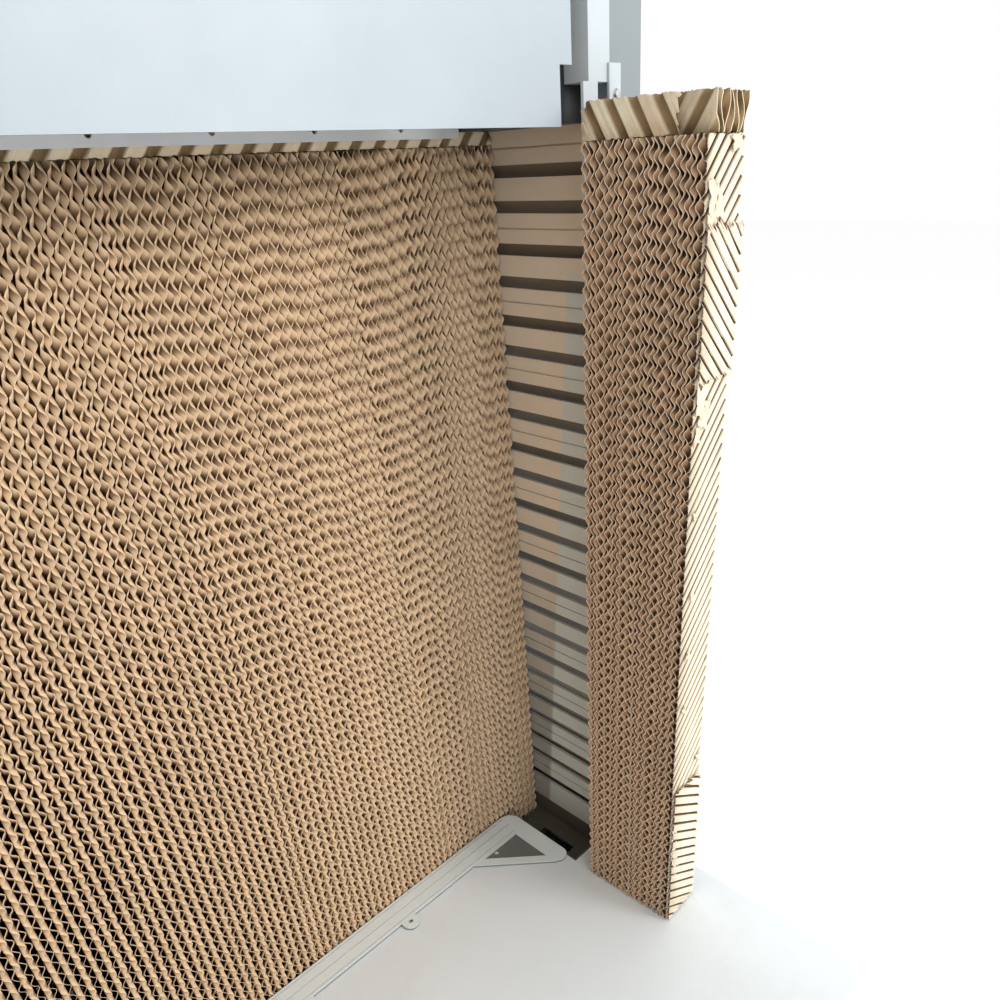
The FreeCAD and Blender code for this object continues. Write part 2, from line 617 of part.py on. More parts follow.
def door_shell():
    """The open box of the fan door with a square outlet, and the plate that carries the ring."""
    wall, low, top = D["door_wall"], D["door_low"], D["door_top"]
    half = D["outlet_half"]
    raw = block(DOOR_OUT, DOOR_FAR, low, D["door_deep"], D["door_wide"], top - low)
    long_edges = [e for e in raw.Edges if abs(e.tangentAt(0).x) > 0.9]
    raw = raw.makeFillet(18, long_edges)
    across, upright = D["door_wide"] - 2 * wall, top - low - 2 * wall
    inner = block(DOOR_OUT + wall, DOOR_FAR + wall, low + wall, D["door_deep"], across, upright)
    inner = inner.makeFillet(13, [e for e in inner.Edges if abs(e.tangentAt(0).x) > 0.9])
    outlet = block(DOOR_OUT - 1, FAN_Y - half, FAN_Z - half, wall + 2, 2 * half, 2 * half)
    latch_hole = rod(LATCH_RADIUS + D["running_fit"], LATCH - BACK, LATCH + BACK * (wall + 1))
    shell = raw.cut([inner, outlet, latch_hole])
    plate_x = DOOR_OUT + RING_BACK
    skin = block(plate_x, DOOR_FAR + wall, low + wall, wall, across, upright)
    skin = skin.makeFillet(13, [e for e in skin.Edges if abs(e.tangentAt(0).x) > 0.9])
    hole = rod(D["fan_radius"] + 4, V(plate_x - 1, FAN_Y, FAN_Z), V(plate_x + wall + 1, FAN_Y, FAN_Z))
    feature("fan_plate", skin.cut(hole))
    ring = turned("fan_ring", [("fan_radius", "0"), ("fan_radius + 4", "0"), ("fan_radius + 4", "100"),
                               ("fan_radius + 40", str(RING_LONG - 4)), ("fan_radius + 40", str(RING_LONG)),
                               ("fan_radius + 34", str(RING_LONG)), ("fan_radius", "104")], RIGHT)
    settle("fan_ring", ring, str(plate_x), str(FAN_Y), str(FAN_Z))
    seal_deep, seal_wide, inset = 6, 20, 4
    outer = block(DOOR_IN, DOOR_FAR + inset, low + inset, seal_deep, D["door_wide"] - 2 * inset,
                  top - low - 2 * inset)
    inner = block(DOOR_IN - 1, DOOR_FAR + inset + seal_wide, low + inset + seal_wide, seal_deep + 2,
                  D["door_wide"] - 2 * (inset + seal_wide), top - low - 2 * (inset + seal_wide))
    rim = block(DOOR_IN - 12, DOOR_FAR + wall, low + wall, 12, across, upright)
    rim = rim.makeFillet(13, [e for e in rim.Edges if abs(e.tangentAt(0).x) > 0.9])
    rim_hole = block(DOOR_IN - 13, DOOR_FAR + wall + seal_wide, low + wall + seal_wide, 14,
                     D["door_wide"] - 2 * (wall + seal_wide), top - low - 2 * (wall + seal_wide))
    feature("door_shell", joined([shell, rim.cut(rim_hole), *outlet_cheeks()]))
    feature("door_gasket", outer.cut(inner))


def fan():
    """Motor on its bracket, and the shaft, hub and blades that turn."""
    wall, low, top = D["door_wall"], D["door_low"], D["door_top"]
    centre = V(BRACKET_X, FAN_Y, FAN_Z)
    bar = 25
    bars = [block(BRACKET_X, FAN_Y + s * 90 - bar / 2, low + wall, bar, bar, top - low - 2 * wall)
            for s in SIDES]
    plate = block(BRACKET_X - 6, FAN_Y - 120, FAN_Z - 120, 6, 240, 240)
    frame = joined([*bars, plate]).cut(rod(14, centre - RIGHT * 7, centre + RIGHT))
    feature("motor_bracket", frame)
    outline = [("shaft_radius + running_fit", "0"), ("60", "0"), ("72", "8"), ("72", str(MOTOR_LONG - 10)),
               ("58", str(MOTOR_LONG)), ("0", str(MOTOR_LONG)), ("0", "42"),
               ("shaft_radius + running_fit", "42")]
    casing = turned("fan_motor", outline, RIGHT)
    settle("fan_motor", casing, str(BRACKET_X), str(FAN_Y), str(FAN_Z))
    hub_x = BRACKET_X - 6 - 18 - HUB_LONG
    outline = [("shaft_radius", "0"), ("40", "0"), ("hub_radius - 8", "6"), ("hub_radius", "16"),
               ("hub_radius", str(HUB_LONG)), ("shaft_radius", str(HUB_LONG))]
    hub = turned("fan_hub", outline, RIGHT)
    settle("fan_hub", hub, str(hub_x), str(FAN_Y), str(FAN_Z))
    far = str(BRACKET_X + 40 - hub_x)
    shaft = turned("fan_shaft", [("0", "0"), ("shaft_radius", "0"), ("shaft_radius", far), ("0", far)], RIGHT)
    settle("fan_shaft", shaft, str(hub_x), str(FAN_Y), str(FAN_Z))
    stations = [(60, 100, 38), (150, 122, 31), (280, 140, 24), (421, 150, 18)]
    count, thick = 5, 4
    sections = []
    for radius, chord, pitch in stations:
        angle = math.radians(pitch)
        along = V(math.sin(angle), math.cos(angle), 0) * (chord / 2)
        across = V(math.cos(angle), -math.sin(angle), 0) * (thick / 2)
        corners = [along + across, across - along, V(0, 0, 0) - along - across, along - across]
        sections.append(Part.makePolygon([c + UP * radius for c in [*corners, corners[0]]]))
    blade = Part.makeLoft(sections, True, False)
    middle = V(hub_x + HUB_LONG / 2 + 6, FAN_Y, FAN_Z)
    blade.translate(middle)
    core = rod(D["hub_radius"], middle - RIGHT * 80, middle + RIGHT * 80)
    blade = blade.cut(core)
    blades = []
    for k in range(count):
        turned_blade = blade.copy()
        turned_blade.rotate(middle, RIGHT, 360 / count * k + 11)
        blades.append(turned_blade)
    feature("fan_blades", Part.makeCompound(blades))
    guard_x, wire = DOOR_IN - 5, 1.8
    rings = [Part.makeTorus(radius, wire, V(guard_x, FAN_Y, FAN_Z), RIGHT) for radius in range(62, 460, 33)]
    spokes = []
    for k in range(8):
        way = V(0, math.cos(math.pi / 4 * k), math.sin(math.pi / 4 * k))
        hub_point = V(guard_x - 1.1 * wire, FAN_Y, FAN_Z)
        spokes.append(rod(wire, hub_point + way * 55, hub_point + way * 470))
    feature("inner_guard", rings[0].multiFuse([*rings[1:], *spokes]))


VANES = 5
VANE_PITCH = 172.0
VANE_CHORD = 84.0
VANE_PIN = 4.0
VANE_X = DOOR_OUT + D["door_wall"] + VANE_CHORD / 2 + 3


def vanes():
    """Horizontal outlet vanes on pins in the outlet's sides."""
    half = D["outlet_half"]
    x, nose = VANE_X, 2.5
    for k, z in enumerate(vane_levels()):
        web = block(x - VANE_CHORD / 2 + nose, FAN_Y - half + 4, z - nose, VANE_CHORD - 2 * nose,
                    2 * half - 8, 2 * nose)
        rounds = [rod(nose, V(x + s * (VANE_CHORD / 2 - nose), FAN_Y - half + 4, z),
                      V(x + s * (VANE_CHORD / 2 - nose), FAN_Y + half - 4, z)) for s in SIDES]
        pin = rod(VANE_PIN, V(x, FAN_Y - half - 8, z), V(x, FAN_Y + half + 8, z))
        feature(f"outlet_vane_{k + 1}", joined([web, *rounds, pin]))


def outlet_cheeks():
    """The two cheeks inside the outlet, bored for the pins of the vanes."""
    half, wall = D["outlet_half"], D["door_wall"]
    cheeks = []
    for s in SIDES:
        y = FAN_Y + s * half
        cheek = block(DOOR_OUT + wall, min(y, y + s * 10), FAN_Z - half, RING_BACK - wall, 10, 2 * half)
        bores = [rod(VANE_PIN + D["running_fit"], V(VANE_X, y - 11, z), V(VANE_X, y + 11, z))
                 for z in vane_levels()]
        cheeks.append(cheek.cut(bores))
    return cheeks


def vane_levels():
    return [FAN_Z + VANE_PITCH * (k - (VANES - 1) / 2) for k in range(VANES)]


PANEL_Y = DOOR_NEAR - 330.0
PANEL_Z = 1346.0
ROCKER_TILT = 8.0


def controls():
    """A control panel with two knobs, a rocker switch and a lamp, above the outlet."""
    outside = DOOR_OUT
    panel = rounded(-45, -170, 45, 170, 10, 0, D["plate"])
    panel.rotate(V(0, 0, 0), BACK, -90)
    panel.translate(V(outside, PANEL_Y, PANEL_Z))
    face = outside - D["plate"]
    knob_places = {"speed_knob": -110, "timer_knob": -30}
    for name, step in knob_places.items():
        hole = rod(4 + D["running_fit"], V(face - 1, PANEL_Y + step, PANEL_Z),
                   V(outside + 1, PANEL_Y + step, PANEL_Z))
        panel = panel.cut(hole)
        skirt = turned(name, [("0", "-3.5"), ("4", "-3.5"), ("4", "0.4"), ("24", "0.4"), ("22", "5"),
                              ("15", "7"), ("14", "20"), ("0", "20")], -RIGHT)
        settle(name, skirt, str(face), str(PANEL_Y + step), str(PANEL_Z))
    rocker_y = PANEL_Y + 60
    slot = block(face - 1, rocker_y - 13, PANEL_Z - 19, 4.5, 26, 38)
    lamp_y = PANEL_Y + 120
    lamp_hole = rod(6, V(face - 1, lamp_y, PANEL_Z), V(outside - 0.5, lamp_y, PANEL_Z))
    feature("control_panel", panel.cut([slot, lamp_hole]))
    rocker = prism([V(1.5, 0, -10), V(-1, 0, -14), V(-5, 0, -14), V(-2, 0, 0), V(-5, 0, 14), V(-1, 0, 14),
                    V(1.5, 0, 10)], BACK * 22)
    rocker = rocker.fuse(rod(1.2, V(0, -1, 0), V(0, 23, 0)))
    rocker.rotate(V(0, 0, 0), BACK, ROCKER_TILT)
    rocker.translate(V(face, rocker_y - 11, PANEL_Z))
    feature("pump_switch", rocker)
    dome = [("0", "-3"), ("6", "-3"), ("6", "3"), ("4", "5.5"), ("0", "6.5")]
    lamp = turned("signal_lamp", dome, -RIGHT)
    settle("signal_lamp", lamp, str(face), str(lamp_y), str(PANEL_Z))


HINGE_LEVELS = (420.0, 830.0, 1190.0)
LEAF_TALL = 50.0
LATCH_RADIUS = 6.0
LATCH = V(DOOR_IN - 45, DOOR_FAR, 850)


def hinges():
    """Three pin hinges on the left front corner, and the latch on the free edge."""
    knuckle = D["pin_out"] - 3
    fixed, moving, pins = [], [], []
    for level in HINGE_LEVELS:
        foot = V(PIN_X, PIN_Y, level)
        barrel = rod(knuckle, foot, foot + UP * LEAF_TALL)
        leaf = block(PIN_X + knuckle - 1, PIN_Y, level, D["pin_out"] - knuckle + 1, 44, LEAF_TALL)
        fixed.append(joined([barrel, leaf]).cut(rod(D["pin_radius"], foot, foot + UP * LEAF_TALL)))
        head = foot + UP * (LEAF_TALL + 0.5)
        barrel = rod(knuckle, head, head + UP * LEAF_TALL)
        leaf = block(PIN_X - 52, DOOR_NEAR, head.z, 52, D["pin_out"] - knuckle + 1, LEAF_TALL)
        bore = rod(D["pin_radius"] + D["running_fit"], head, head + UP * LEAF_TALL)
        moving.append(joined([barrel, leaf]).cut(bore))
        pins.append(rod(D["pin_radius"], foot, head + UP * (LEAF_TALL + 2)))
    feature("hinge_leaves_cabinet", Part.makeCompound(fixed))
    feature("hinge_leaves_door", Part.makeCompound(moving))
    feature("hinge_pins", Part.makeCompound(pins))
    stem = rod(LATCH_RADIUS, LATCH - BACK * 10, LATCH + BACK * 18)
    wing = block(LATCH.x - 6, LATCH.y - 20, LATCH.z - 22, 12, 16, 44)
    boss = rod(14, LATCH - BACK * 6, LATCH - BACK * 0.4)
    cam = block(LATCH.x - 8, LATCH.y + 10, LATCH.z - 8, 16, 5, 40)
    feature("door_latch", joined([stem, wing, boss, cam]))


for make in (base_tank, deck, pad_tray, pad_rim, feet, posts, louvres, pads, water, covers, door_shell,
             fan, vanes, controls, hinges):
    make()
doc.recompute()

faults = [obj.Name for obj in doc.Objects if "Invalid" in obj.State or "Error" in obj.State]
for name, obj in finished.items():
    if obj.Shape.isNull() or not obj.Shape.isValid() or not obj.Shape.Solids:
        faults.append(name)
if faults:
    raise SystemExit(f"faulty: {sorted(set(faults))}")

os.makedirs("parts", exist_ok=True)
whole = FreeCAD.BoundBox()
for name, obj in finished.items():
    obj.Shape.exportStep(f"parts/{name}.step")
    whole.add(obj.Shape.BoundBox)
print(len(finished), "sub-parts")
print("low corner", round(whole.XMin, 1), round(whole.YMin, 1), round(whole.ZMin, 1))
print("high corner", round(whole.XMax, 1), round(whole.YMax, 1), round(whole.ZMax, 1))
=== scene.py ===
import math

import bpy
import numpy as np
from mathutils import Matrix, Vector


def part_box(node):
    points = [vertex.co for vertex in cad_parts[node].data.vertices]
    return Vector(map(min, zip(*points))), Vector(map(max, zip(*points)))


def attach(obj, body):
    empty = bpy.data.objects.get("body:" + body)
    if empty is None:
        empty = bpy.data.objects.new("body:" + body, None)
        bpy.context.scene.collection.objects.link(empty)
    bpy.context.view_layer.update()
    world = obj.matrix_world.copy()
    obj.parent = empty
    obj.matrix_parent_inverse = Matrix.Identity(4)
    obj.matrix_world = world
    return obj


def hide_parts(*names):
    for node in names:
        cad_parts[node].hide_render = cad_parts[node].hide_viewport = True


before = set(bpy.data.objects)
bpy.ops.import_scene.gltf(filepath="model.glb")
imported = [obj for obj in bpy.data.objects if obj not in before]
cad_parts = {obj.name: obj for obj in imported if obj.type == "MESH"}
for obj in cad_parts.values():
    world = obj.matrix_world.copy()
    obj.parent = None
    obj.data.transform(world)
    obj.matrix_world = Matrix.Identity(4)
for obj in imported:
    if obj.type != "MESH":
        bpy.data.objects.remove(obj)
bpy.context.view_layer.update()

MM = 0.001
rng = np.random.default_rng(7)

# Where the cabinet stands in the frame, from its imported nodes.
TANK_LOW, TANK_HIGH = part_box("base_tank")
CENTRE_X = (TANK_LOW.x + TANK_HIGH.x) / 2
FRONT_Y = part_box("retaining_posts")[0].y
DECK_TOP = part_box("deck")[1].z
DOOR_LOW, DOOR_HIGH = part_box("door_shell")


# ------------------------------------------------------------------ materials
class Nodes:
    """A short way to write a node tree."""

    def __init__(self, name):
        self.material = bpy.data.materials.new(name)
        self.material.use_nodes = True
        self.tree = self.material.node_tree
        self.shader = self.tree.nodes["Principled BSDF"]
        self.place = self.tree.nodes.new("ShaderNodeTexCoord").outputs["Object"]

    def add(self, kind, **inputs):
        node = self.tree.nodes.new(kind)
        for key, value in inputs.items():
            self.set(node, key.replace("_", " "), value)
        return node

    def set(self, node, key, value):
        """Feed an input from another node's socket, or give it a plain value."""
        if isinstance(value, bpy.types.NodeSocket):
            self.tree.links.new(value, node.inputs[key])
        else:
            node.inputs[key].default_value = value

    def noise(self, scale, detail=4.0, rough=0.6, stretch=None):
        node = self.add("ShaderNodeTexNoise", Scale=scale, Detail=detail, Roughness=rough)
        where = self.place
        if stretch is not None:
            mapping = self.add("ShaderNodeMapping", Vector=where)
            mapping.inputs["Scale"].default_value = stretch
            where = mapping.outputs["Vector"]
        self.tree.links.new(where, node.inputs["Vector"])
        return node.outputs["Fac"]

    def spots(self, value, low, high):
        """A mask of a noise's higher patches: black up to low and white from high on."""
        node = self.add("ShaderNodeValToRGB", Fac=value)
        for element, at in zip(node.color_ramp.elements, (low, high)):
            element.position = at
        return node.outputs["Color"]

    def mix(self, fac, a, b, blend="MIX"):
        node = self.tree.nodes.new("ShaderNodeMix")
        node.data_type = "RGBA"
        node.blend_type = blend
        self.set(node, 0, fac)
        for index, value in ((6, a), (7, b)):
            self.set(node, index, value if isinstance(value, bpy.types.NodeSocket) else (*value, 1))
        return node.outputs[2]

    def math(self, operation, a, b=0.0):
        node = self.tree.nodes.new("ShaderNodeMath")
        node.operation = operation
        for index, value in enumerate((a, b)):
            self.set(node, index, value)
        return node.outputs[0]

    def between(self, value, low, high):
        """0 below low, 1 above high, straight between."""
        node = self.add("ShaderNodeMapRange", Value=value)
        node.inputs["From Min"].default_value = low
        node.inputs["From Max"].default_value = high
        return node.outputs["Result"]

    def axis(self, name):
        node = self.add("ShaderNodeSeparateXYZ", Vector=self.place)
        return node.outputs[name]

    def normal(self, name):
        source = self.tree.nodes.new("ShaderNodeNewGeometry").outputs["Normal"]
        node = self.add("ShaderNodeSeparateXYZ", Vector=source)
        return node.outputs[name]

    def mask(self, name):
        node = self.tree.nodes.new("ShaderNodeAttribute")
        node.attribute_name = name
        return node.outputs["Fac"]

    def bump(self, height, distance, strength=1.0):
        node = self.add("ShaderNodeBump", Height=height, Distance=distance, Strength=strength)
        self.tree.links.new(node.outputs["Normal"], self.shader.inputs["Normal"])

    def finish(self, colour, rough, metallic=0.0, **sockets):
        """Give the shader its colour and roughness. Other uniform values go straight on its sockets."""
        plain = not isinstance(colour, bpy.types.NodeSocket)
        self.set(self.shader, "Base Color", (*colour, 1) if plain else colour)
        self.set(self.shader, "Roughness", rough)
        self.shader.inputs["Metallic"].default_value = metallic
        for key, value in sockets.items():
            self.shader.inputs[key.replace("_", " ")].default_value = value
        return self.material


def srgb(red, green, blue):
    """A colour given as 0 to 255, made linear."""
    def straight(c):
        c /= 255
        return c / 12.92 if c <= 0.04045 else ((c + 0.055) / 1.055) ** 2.4
    return straight(red), straight(green), straight(blue)


def shade(colour, factor):
    return tuple(c * factor for c in colour)


def moulded(name, colour, rough=0.42, dirt=0.12, grain=0.00008):
    """Moulded plastic: faint mottling, dust in upright streaks, and a fine spark-eroded grain."""
    n = Nodes(name)
    patch = n.noise(3.2, 5)
    tone = n.mix(n.spots(patch, 0.3, 0.75), colour, shade(colour, 0.93))
    streak = n.noise(9, 6, 0.7, (1, 1, 0.12))
    grime = n.math("MULTIPLY", n.spots(streak, 0.52, 0.8), dirt)
    tone = n.mix(grime, tone, srgb(150, 140, 120))
    n.bump(n.noise(900, 3), grain, 0.6)
    return n.finish(tone, n.math("ADD", n.math("MULTIPLY", n.noise(26, 5), 0.16), rough - 0.08))


def painted(name, colour, rough=0.45):
    """Powder coat on sheet steel: orange peel, slight chalking and scuffs."""
    n = Nodes(name)
    tone = n.mix(n.spots(n.noise(5, 6), 0.35, 0.7), colour, shade(colour, 0.9))
    scuff = n.spots(n.noise(60, 8, 0.75, (1, 1, 0.3)), 0.66, 0.72)
    tone = n.mix(n.math("MULTIPLY", scuff, 0.25), tone, shade(colour, 0.72))
    n.bump(n.noise(420, 2), 0.00012, 0.5)
    uneven = n.math("ADD", n.math("MULTIPLY", n.noise(30, 4), 0.18), rough - 0.09)
    return n.finish(tone, uneven, Coat_Weight=0.12, Coat_Roughness=0.55)


def metal(name, colour, rough, stretch=(1, 1, 1)):
    """Drawn or plated metal with fine scratches."""
    n = Nodes(name)
    scratch = n.noise(260, 8, 0.8, stretch)
    tone = n.mix(n.math("MULTIPLY", scratch, 0.5), colour, shade(colour, 0.72))
    n.bump(scratch, 0.00006, 0.6)
    return n.finish(tone, n.math("ADD", n.math("MULTIPLY", scratch, 0.22), rough - 0.1), 1.0)


def rubber(name):
    n = Nodes(name)
    dust = n.spots(n.noise(14, 6), 0.45, 0.8)
    tone = n.mix(n.math("MULTIPLY", dust, 0.5), (0.012, 0.012, 0.013), (0.06, 0.055, 0.05))
    n.bump(n.noise(700, 3), 0.0002, 0.5)
    return n.finish(tone, 0.85)


# The painted patch of light on the right louvre: its top, how far back it reaches at the floor, and its slope.
LIT_PATCH_TOP, LIT_PATCH_REACH, LIT_PATCH_SLOPE = (1.093, 1.087), (0.161, 0.156), 0.0895
# How far into a louvre's plate the inner colour, painted warm bounce light high up and painted shade low down,
# gives way to the pale outer one.
PLATE_SKIN = (0.0018, 0.0028)


def louvre(name, inside_axis, inside_at, inside_sign, lit_patch=False):
    """Louvre plastic, pale outside. Inside the slots: beige high up as painted warm bounce light, greyer
    towards the floor as painted shade, brown painted shade on undersides.
    """
    n = Nodes(name)
    high = n.axis("Z")
    blotch = n.noise(7, 6, 0.65)
    # Beige high up is painted warm bounce light; the greyer tones low down are painted shade.
    painted_bounce_light = n.mix(blotch, srgb(244, 226, 202), srgb(228, 208, 182))
    lower = n.mix(blotch, srgb(176, 172, 162), srgb(146, 143, 134))
    painted_shade_fade = n.math("ADD", high, n.math("MULTIPLY", blotch, 0.25))
    inner = n.mix(n.between(painted_shade_fade, 0.95, 0.62), painted_bounce_light, lower)
    drip = n.spots(n.noise(16, 6, 0.7, (1, 1, 0.08)), 0.5, 0.78)
    inner = n.mix(n.math("MULTIPLY", drip, 0.35), inner, srgb(228, 222, 208))
    outer = n.mix(blotch, srgb(204, 211, 214), srgb(188, 195, 198))
    depth = n.math("MULTIPLY", n.math("SUBTRACT", n.axis(inside_axis), inside_at), inside_sign)
    tone = n.mix(n.between(depth, *PLATE_SKIN), inner, outer)
    if lit_patch:
        # A pale patch of painted light, where light falls in on the right louvre.
        back = n.math("SUBTRACT", n.axis("Y"), FRONT_Y)
        reach = n.math("ADD", back, n.math("MULTIPLY", high, LIT_PATCH_SLOPE))
        painted_light_patch = n.math("MULTIPLY", n.between(reach, *LIT_PATCH_REACH), n.between(high, *LIT_PATCH_TOP))
        tone = n.mix(n.math("MULTIPLY", painted_light_patch, 0.85), tone, srgb(214, 220, 214))
    # Faces turned down get a brown painted shade.
    underside_shade = n.between(n.normal("Z"), -0.15, -0.5)
    tone = n.mix(underside_shade, tone, srgb(122, 104, 82))
    n.bump(n.noise(500, 3), 0.0001, 0.5)
    return n.finish(tone, n.math("ADD", n.math("MULTIPLY", blotch, 0.2), 0.4))


def paper(name, wall, deep, stain, bump=0.0003, groove=None, painted_shade_fade=0.3):
    """Resin-dipped cellulose paper.

    The mask depth is 0 at the air face and 1 inside; with depth the colour turns to deep, a painted shade. The
    mask hollow is high in a groove, where groove, if given, is painted shade, partly dirt.
    """
    n = Nodes(name)
    fibre = n.noise(420, 6, 0.75, (1, 1, 0.35))
    blotch = n.noise(34, 5, 0.65)
    tone = n.mix(n.spots(blotch, 0.35, 0.7), wall, shade(wall, 0.84))
    stained = n.spots(n.noise(11, 6, 0.7), 0.5, 0.72)
    tone = n.mix(n.math("MULTIPLY", stained, 0.4), tone, stain)
    tone = n.mix(n.math("MULTIPLY", fibre, 0.4), tone, shade(wall, 0.76))
    # Painted shade: the colour turns towards deep further into the flutes.
    tone = n.mix(n.between(n.mask("depth"), 0.01, painted_shade_fade), tone, deep)
    if groove is not None:
        # Painted shade in the grooves between flat bands, partly dirt.
        tone = n.mix(n.between(n.mask("hollow"), -0.52, 0.25), tone, groove)
    n.bump(n.math("ADD", fibre, n.math("MULTIPLY", blotch, 2.0)), bump, 0.7)
    return n.finish(tone, 0.92, Specular_IOR_Level=0.2)


# Paper colours: walls of the flutes, painted shade deep in the flutes, cut edges and the cream distribution
# pads.
REAR_WALL, REAR_DEEP_SHADE, REAR_EDGE = srgb(238, 207, 170), srgb(74, 48, 24), srgb(240, 211, 176)
SIDE_WALL, SIDE_DEEP_SHADE, SIDE_EDGE = srgb(206, 169, 134), srgb(46, 28, 15), srgb(252, 236, 212)
CREAM, CREAM_DEEP_SHADE = srgb(238, 222, 192), srgb(132, 106, 76)
SKIN = srgb(246, 231, 206)

rear_paper = paper("rear_paper", REAR_WALL, REAR_DEEP_SHADE, srgb(206, 176, 142), painted_shade_fade=0.13)
rear_edge = paper("rear_edge", REAR_EDGE, REAR_EDGE, srgb(208, 176, 142))
side_paper = paper("side_paper", SIDE_WALL, SIDE_DEEP_SHADE, srgb(150, 130, 102), painted_shade_fade=0.2)
side_edge = paper("side_edge", SIDE_EDGE, SIDE_EDGE, srgb(216, 190, 160))
cream_paper = paper("cream_paper", CREAM, CREAM_DEEP_SHADE, srgb(204, 160, 116), 0.0007, srgb(150, 124, 90))
cream_edge = paper("cream_edge", shade(CREAM, 1.08), CREAM, srgb(206, 180, 144), 0.0005)
skin_paper = paper("skin_paper", SKIN, SKIN, srgb(226, 196, 168), 0.0006, srgb(96, 72, 46))

# Copies of one white: the deck and hatch white is brightened as painted light, the shell and cover whites are
# darkened as painted shade.
white = moulded("white_moulding", srgb(234, 241, 244))
shell_white_painted_shade = moulded("shell_moulding_painted_shade", srgb(207, 215, 220), dirt=0.2)
cover_white_painted_shade = painted("white_covers_painted_shade", srgb(176, 187, 195), 0.4)
white_post = painted("white_posts", srgb(200, 209, 214))
grey_paint = painted("grey_frame", srgb(140, 149, 152))
tray_grey = moulded("tray_grey", srgb(96, 92, 84), dirt=0.4)
lip_grey = moulded("lip_grey", srgb(234, 236, 239), dirt=0.2)
dark_trough = moulded("dark_trough", srgb(58, 64, 68), dirt=0.1)
pipe_grey = moulded("pipe_grey", srgb(205, 210, 212))
pump_blue = moulded("pump_blue", srgb(38, 66, 104))
black = moulded("black_moulding", srgb(32, 32, 34), dirt=0.05)
fan_black = moulded("fan_moulding", srgb(44, 47, 50), dirt=0.1)
vane_grey = moulded("vane_moulding", srgb(196, 204, 208))
panel_grey = moulded("panel_moulding", srgb(84, 92, 98), dirt=0.04)
float_orange = moulded("float_moulding", srgb(222, 120, 44))
motor_grey = painted("motor_casting", srgb(70, 78, 84), 0.5)
steel = metal("zinc_steel", (0.55, 0.56, 0.57), 0.36)
guard_steel = metal("guard_wire", (0.5, 0.51, 0.52), 0.3)
brass = metal("valve_brass", (0.62, 0.43, 0.17), 0.32)
black_rubber = rubber("rubber_parts")


def lamp_green():
    n = Nodes("lamp_green")
    ring = n.noise(300, 2)
    tone = n.mix(ring, srgb(30, 150, 66), srgb(52, 190, 90))
    return n.finish(tone, n.math("ADD", n.math("MULTIPLY", ring, 0.1), 0.08), Coat_Weight=0.6)


def pocketed_white():
    """The rim's white plastic, brightened as painted light, with painted shade down in its grooves and
    pockets.
    """
    n = Nodes("rim_white")
    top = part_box("pad_rim")[1].z
    # Painted shade down in the grooves and pockets.
    pocket_shade = n.between(n.axis("Z"), top - 0.0002, top - 0.0024)
    tone = n.mix(n.noise(12, 5), srgb(238, 246, 247), srgb(226, 234, 235))
    tone = n.mix(pocket_shade, tone, srgb(118, 122, 120))
    n.bump(n.noise(600, 3), 0.0001, 0.5)
    return n.finish(tone, n.math("ADD", n.math("MULTIPLY", n.noise(24, 4), 0.15), 0.32))


right_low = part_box("louvre_right")[0]
left_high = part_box("louvre_left")[1]
rear_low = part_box("louvre_rear")[0]
coats = {
    "pad_rim": pocketed_white(),
    "louvre_right": louvre("louvre_right_plastic", "X", right_low.x, 1, True),
    "louvre_left": louvre("louvre_left_plastic", "X", left_high.x, -1),
    "louvre_rear": louvre("louvre_rear_plastic", "Y", rear_low.y, 1),
    "signal_lamp": lamp_green(),
}
for shared, nodes in (
        (shell_white_painted_shade, "base_tank door_shell"),
        (white, "deck pump_hatch"),
        (tray_grey, "pad_tray"),
        (black_rubber, "foot_pads door_gasket"),
        (steel, "foot_studs bracket_screws fan_shaft hinge_pins door_latch"),
        (white_post, "retaining_posts upper_posts post_brackets hinge_leaves_cabinet hinge_leaves_door"),
        (grey_paint, "front_corner_posts rear_corner_posts fan_plate fan_ring motor_bracket"),
        (lip_grey, "water_trough trough_skirt"),
        (dark_trough, "side_troughs"),
        (pipe_grey, "spray_pipe riser_pipe overflow_pipe"),
        (pump_blue, "water_pump"),
        (black, "pump_strainer drain_plug speed_knob timer_knob pump_switch"),
        (brass, "inlet_valve float_arm"),
        (float_orange, "float_ball"),
        (cover_white_painted_shade, "top_cover front_fascia"),
        (motor_grey, "fan_motor"),
        (fan_black, "fan_hub fan_blades"),
        (guard_steel, "inner_guard"),
        (panel_grey, "control_panel"),
):
    for node in nodes.split():
        coats[node] = shared
for number in range(1, 6):
    coats[f"outlet_vane_{number}"] = vane_grey
for node, coat in coats.items():
    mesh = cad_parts[node].data
    mesh.materials.clear()
    mesh.materials.append(coat)


# ------------------------------------------------------------------ mesh helpers
def facing_out(points, faces):
    """The quads of closed shells, turned so that their normals point out."""
    corners = (points - points.mean(0))[faces]
    crosses = np.cross(corners[:, 1], corners[:, 2]) + np.cross(corners[:, 2], corners[:, 3])
    volume = np.einsum("ij,ij", corners[:, 0], crosses)
    return faces if volume > 0 else faces[:, ::-1]


def piece(name, points, faces, materials, slots=None, masks=None, smooth=True):
    """A mesh object from arrays of points and quads."""
    points, faces = np.asarray(points, float), np.asarray(faces)
    mesh = bpy.data.meshes.new(name)
    mesh.from_pydata(points.tolist(), [], facing_out(points, faces).tolist())
    for material in materials:
        mesh.materials.append(material)
    if slots is not None:
        mesh.polygons.foreach_set("material_index", np.asarray(slots, np.int32))
    if smooth:
        mesh.polygons.foreach_set("use_smooth", np.ones(len(mesh.polygons), bool))
    for key, values in (masks or {}).items():
        mesh.attributes.new(key, "FLOAT", "POINT").data.foreach_set("value", np.asarray(values, np.float32))
    mesh.validate()
    mesh.update()
    obj = bpy.data.objects.new(name, mesh)
    bpy.context.scene.collection.objects.link(obj)
    return obj


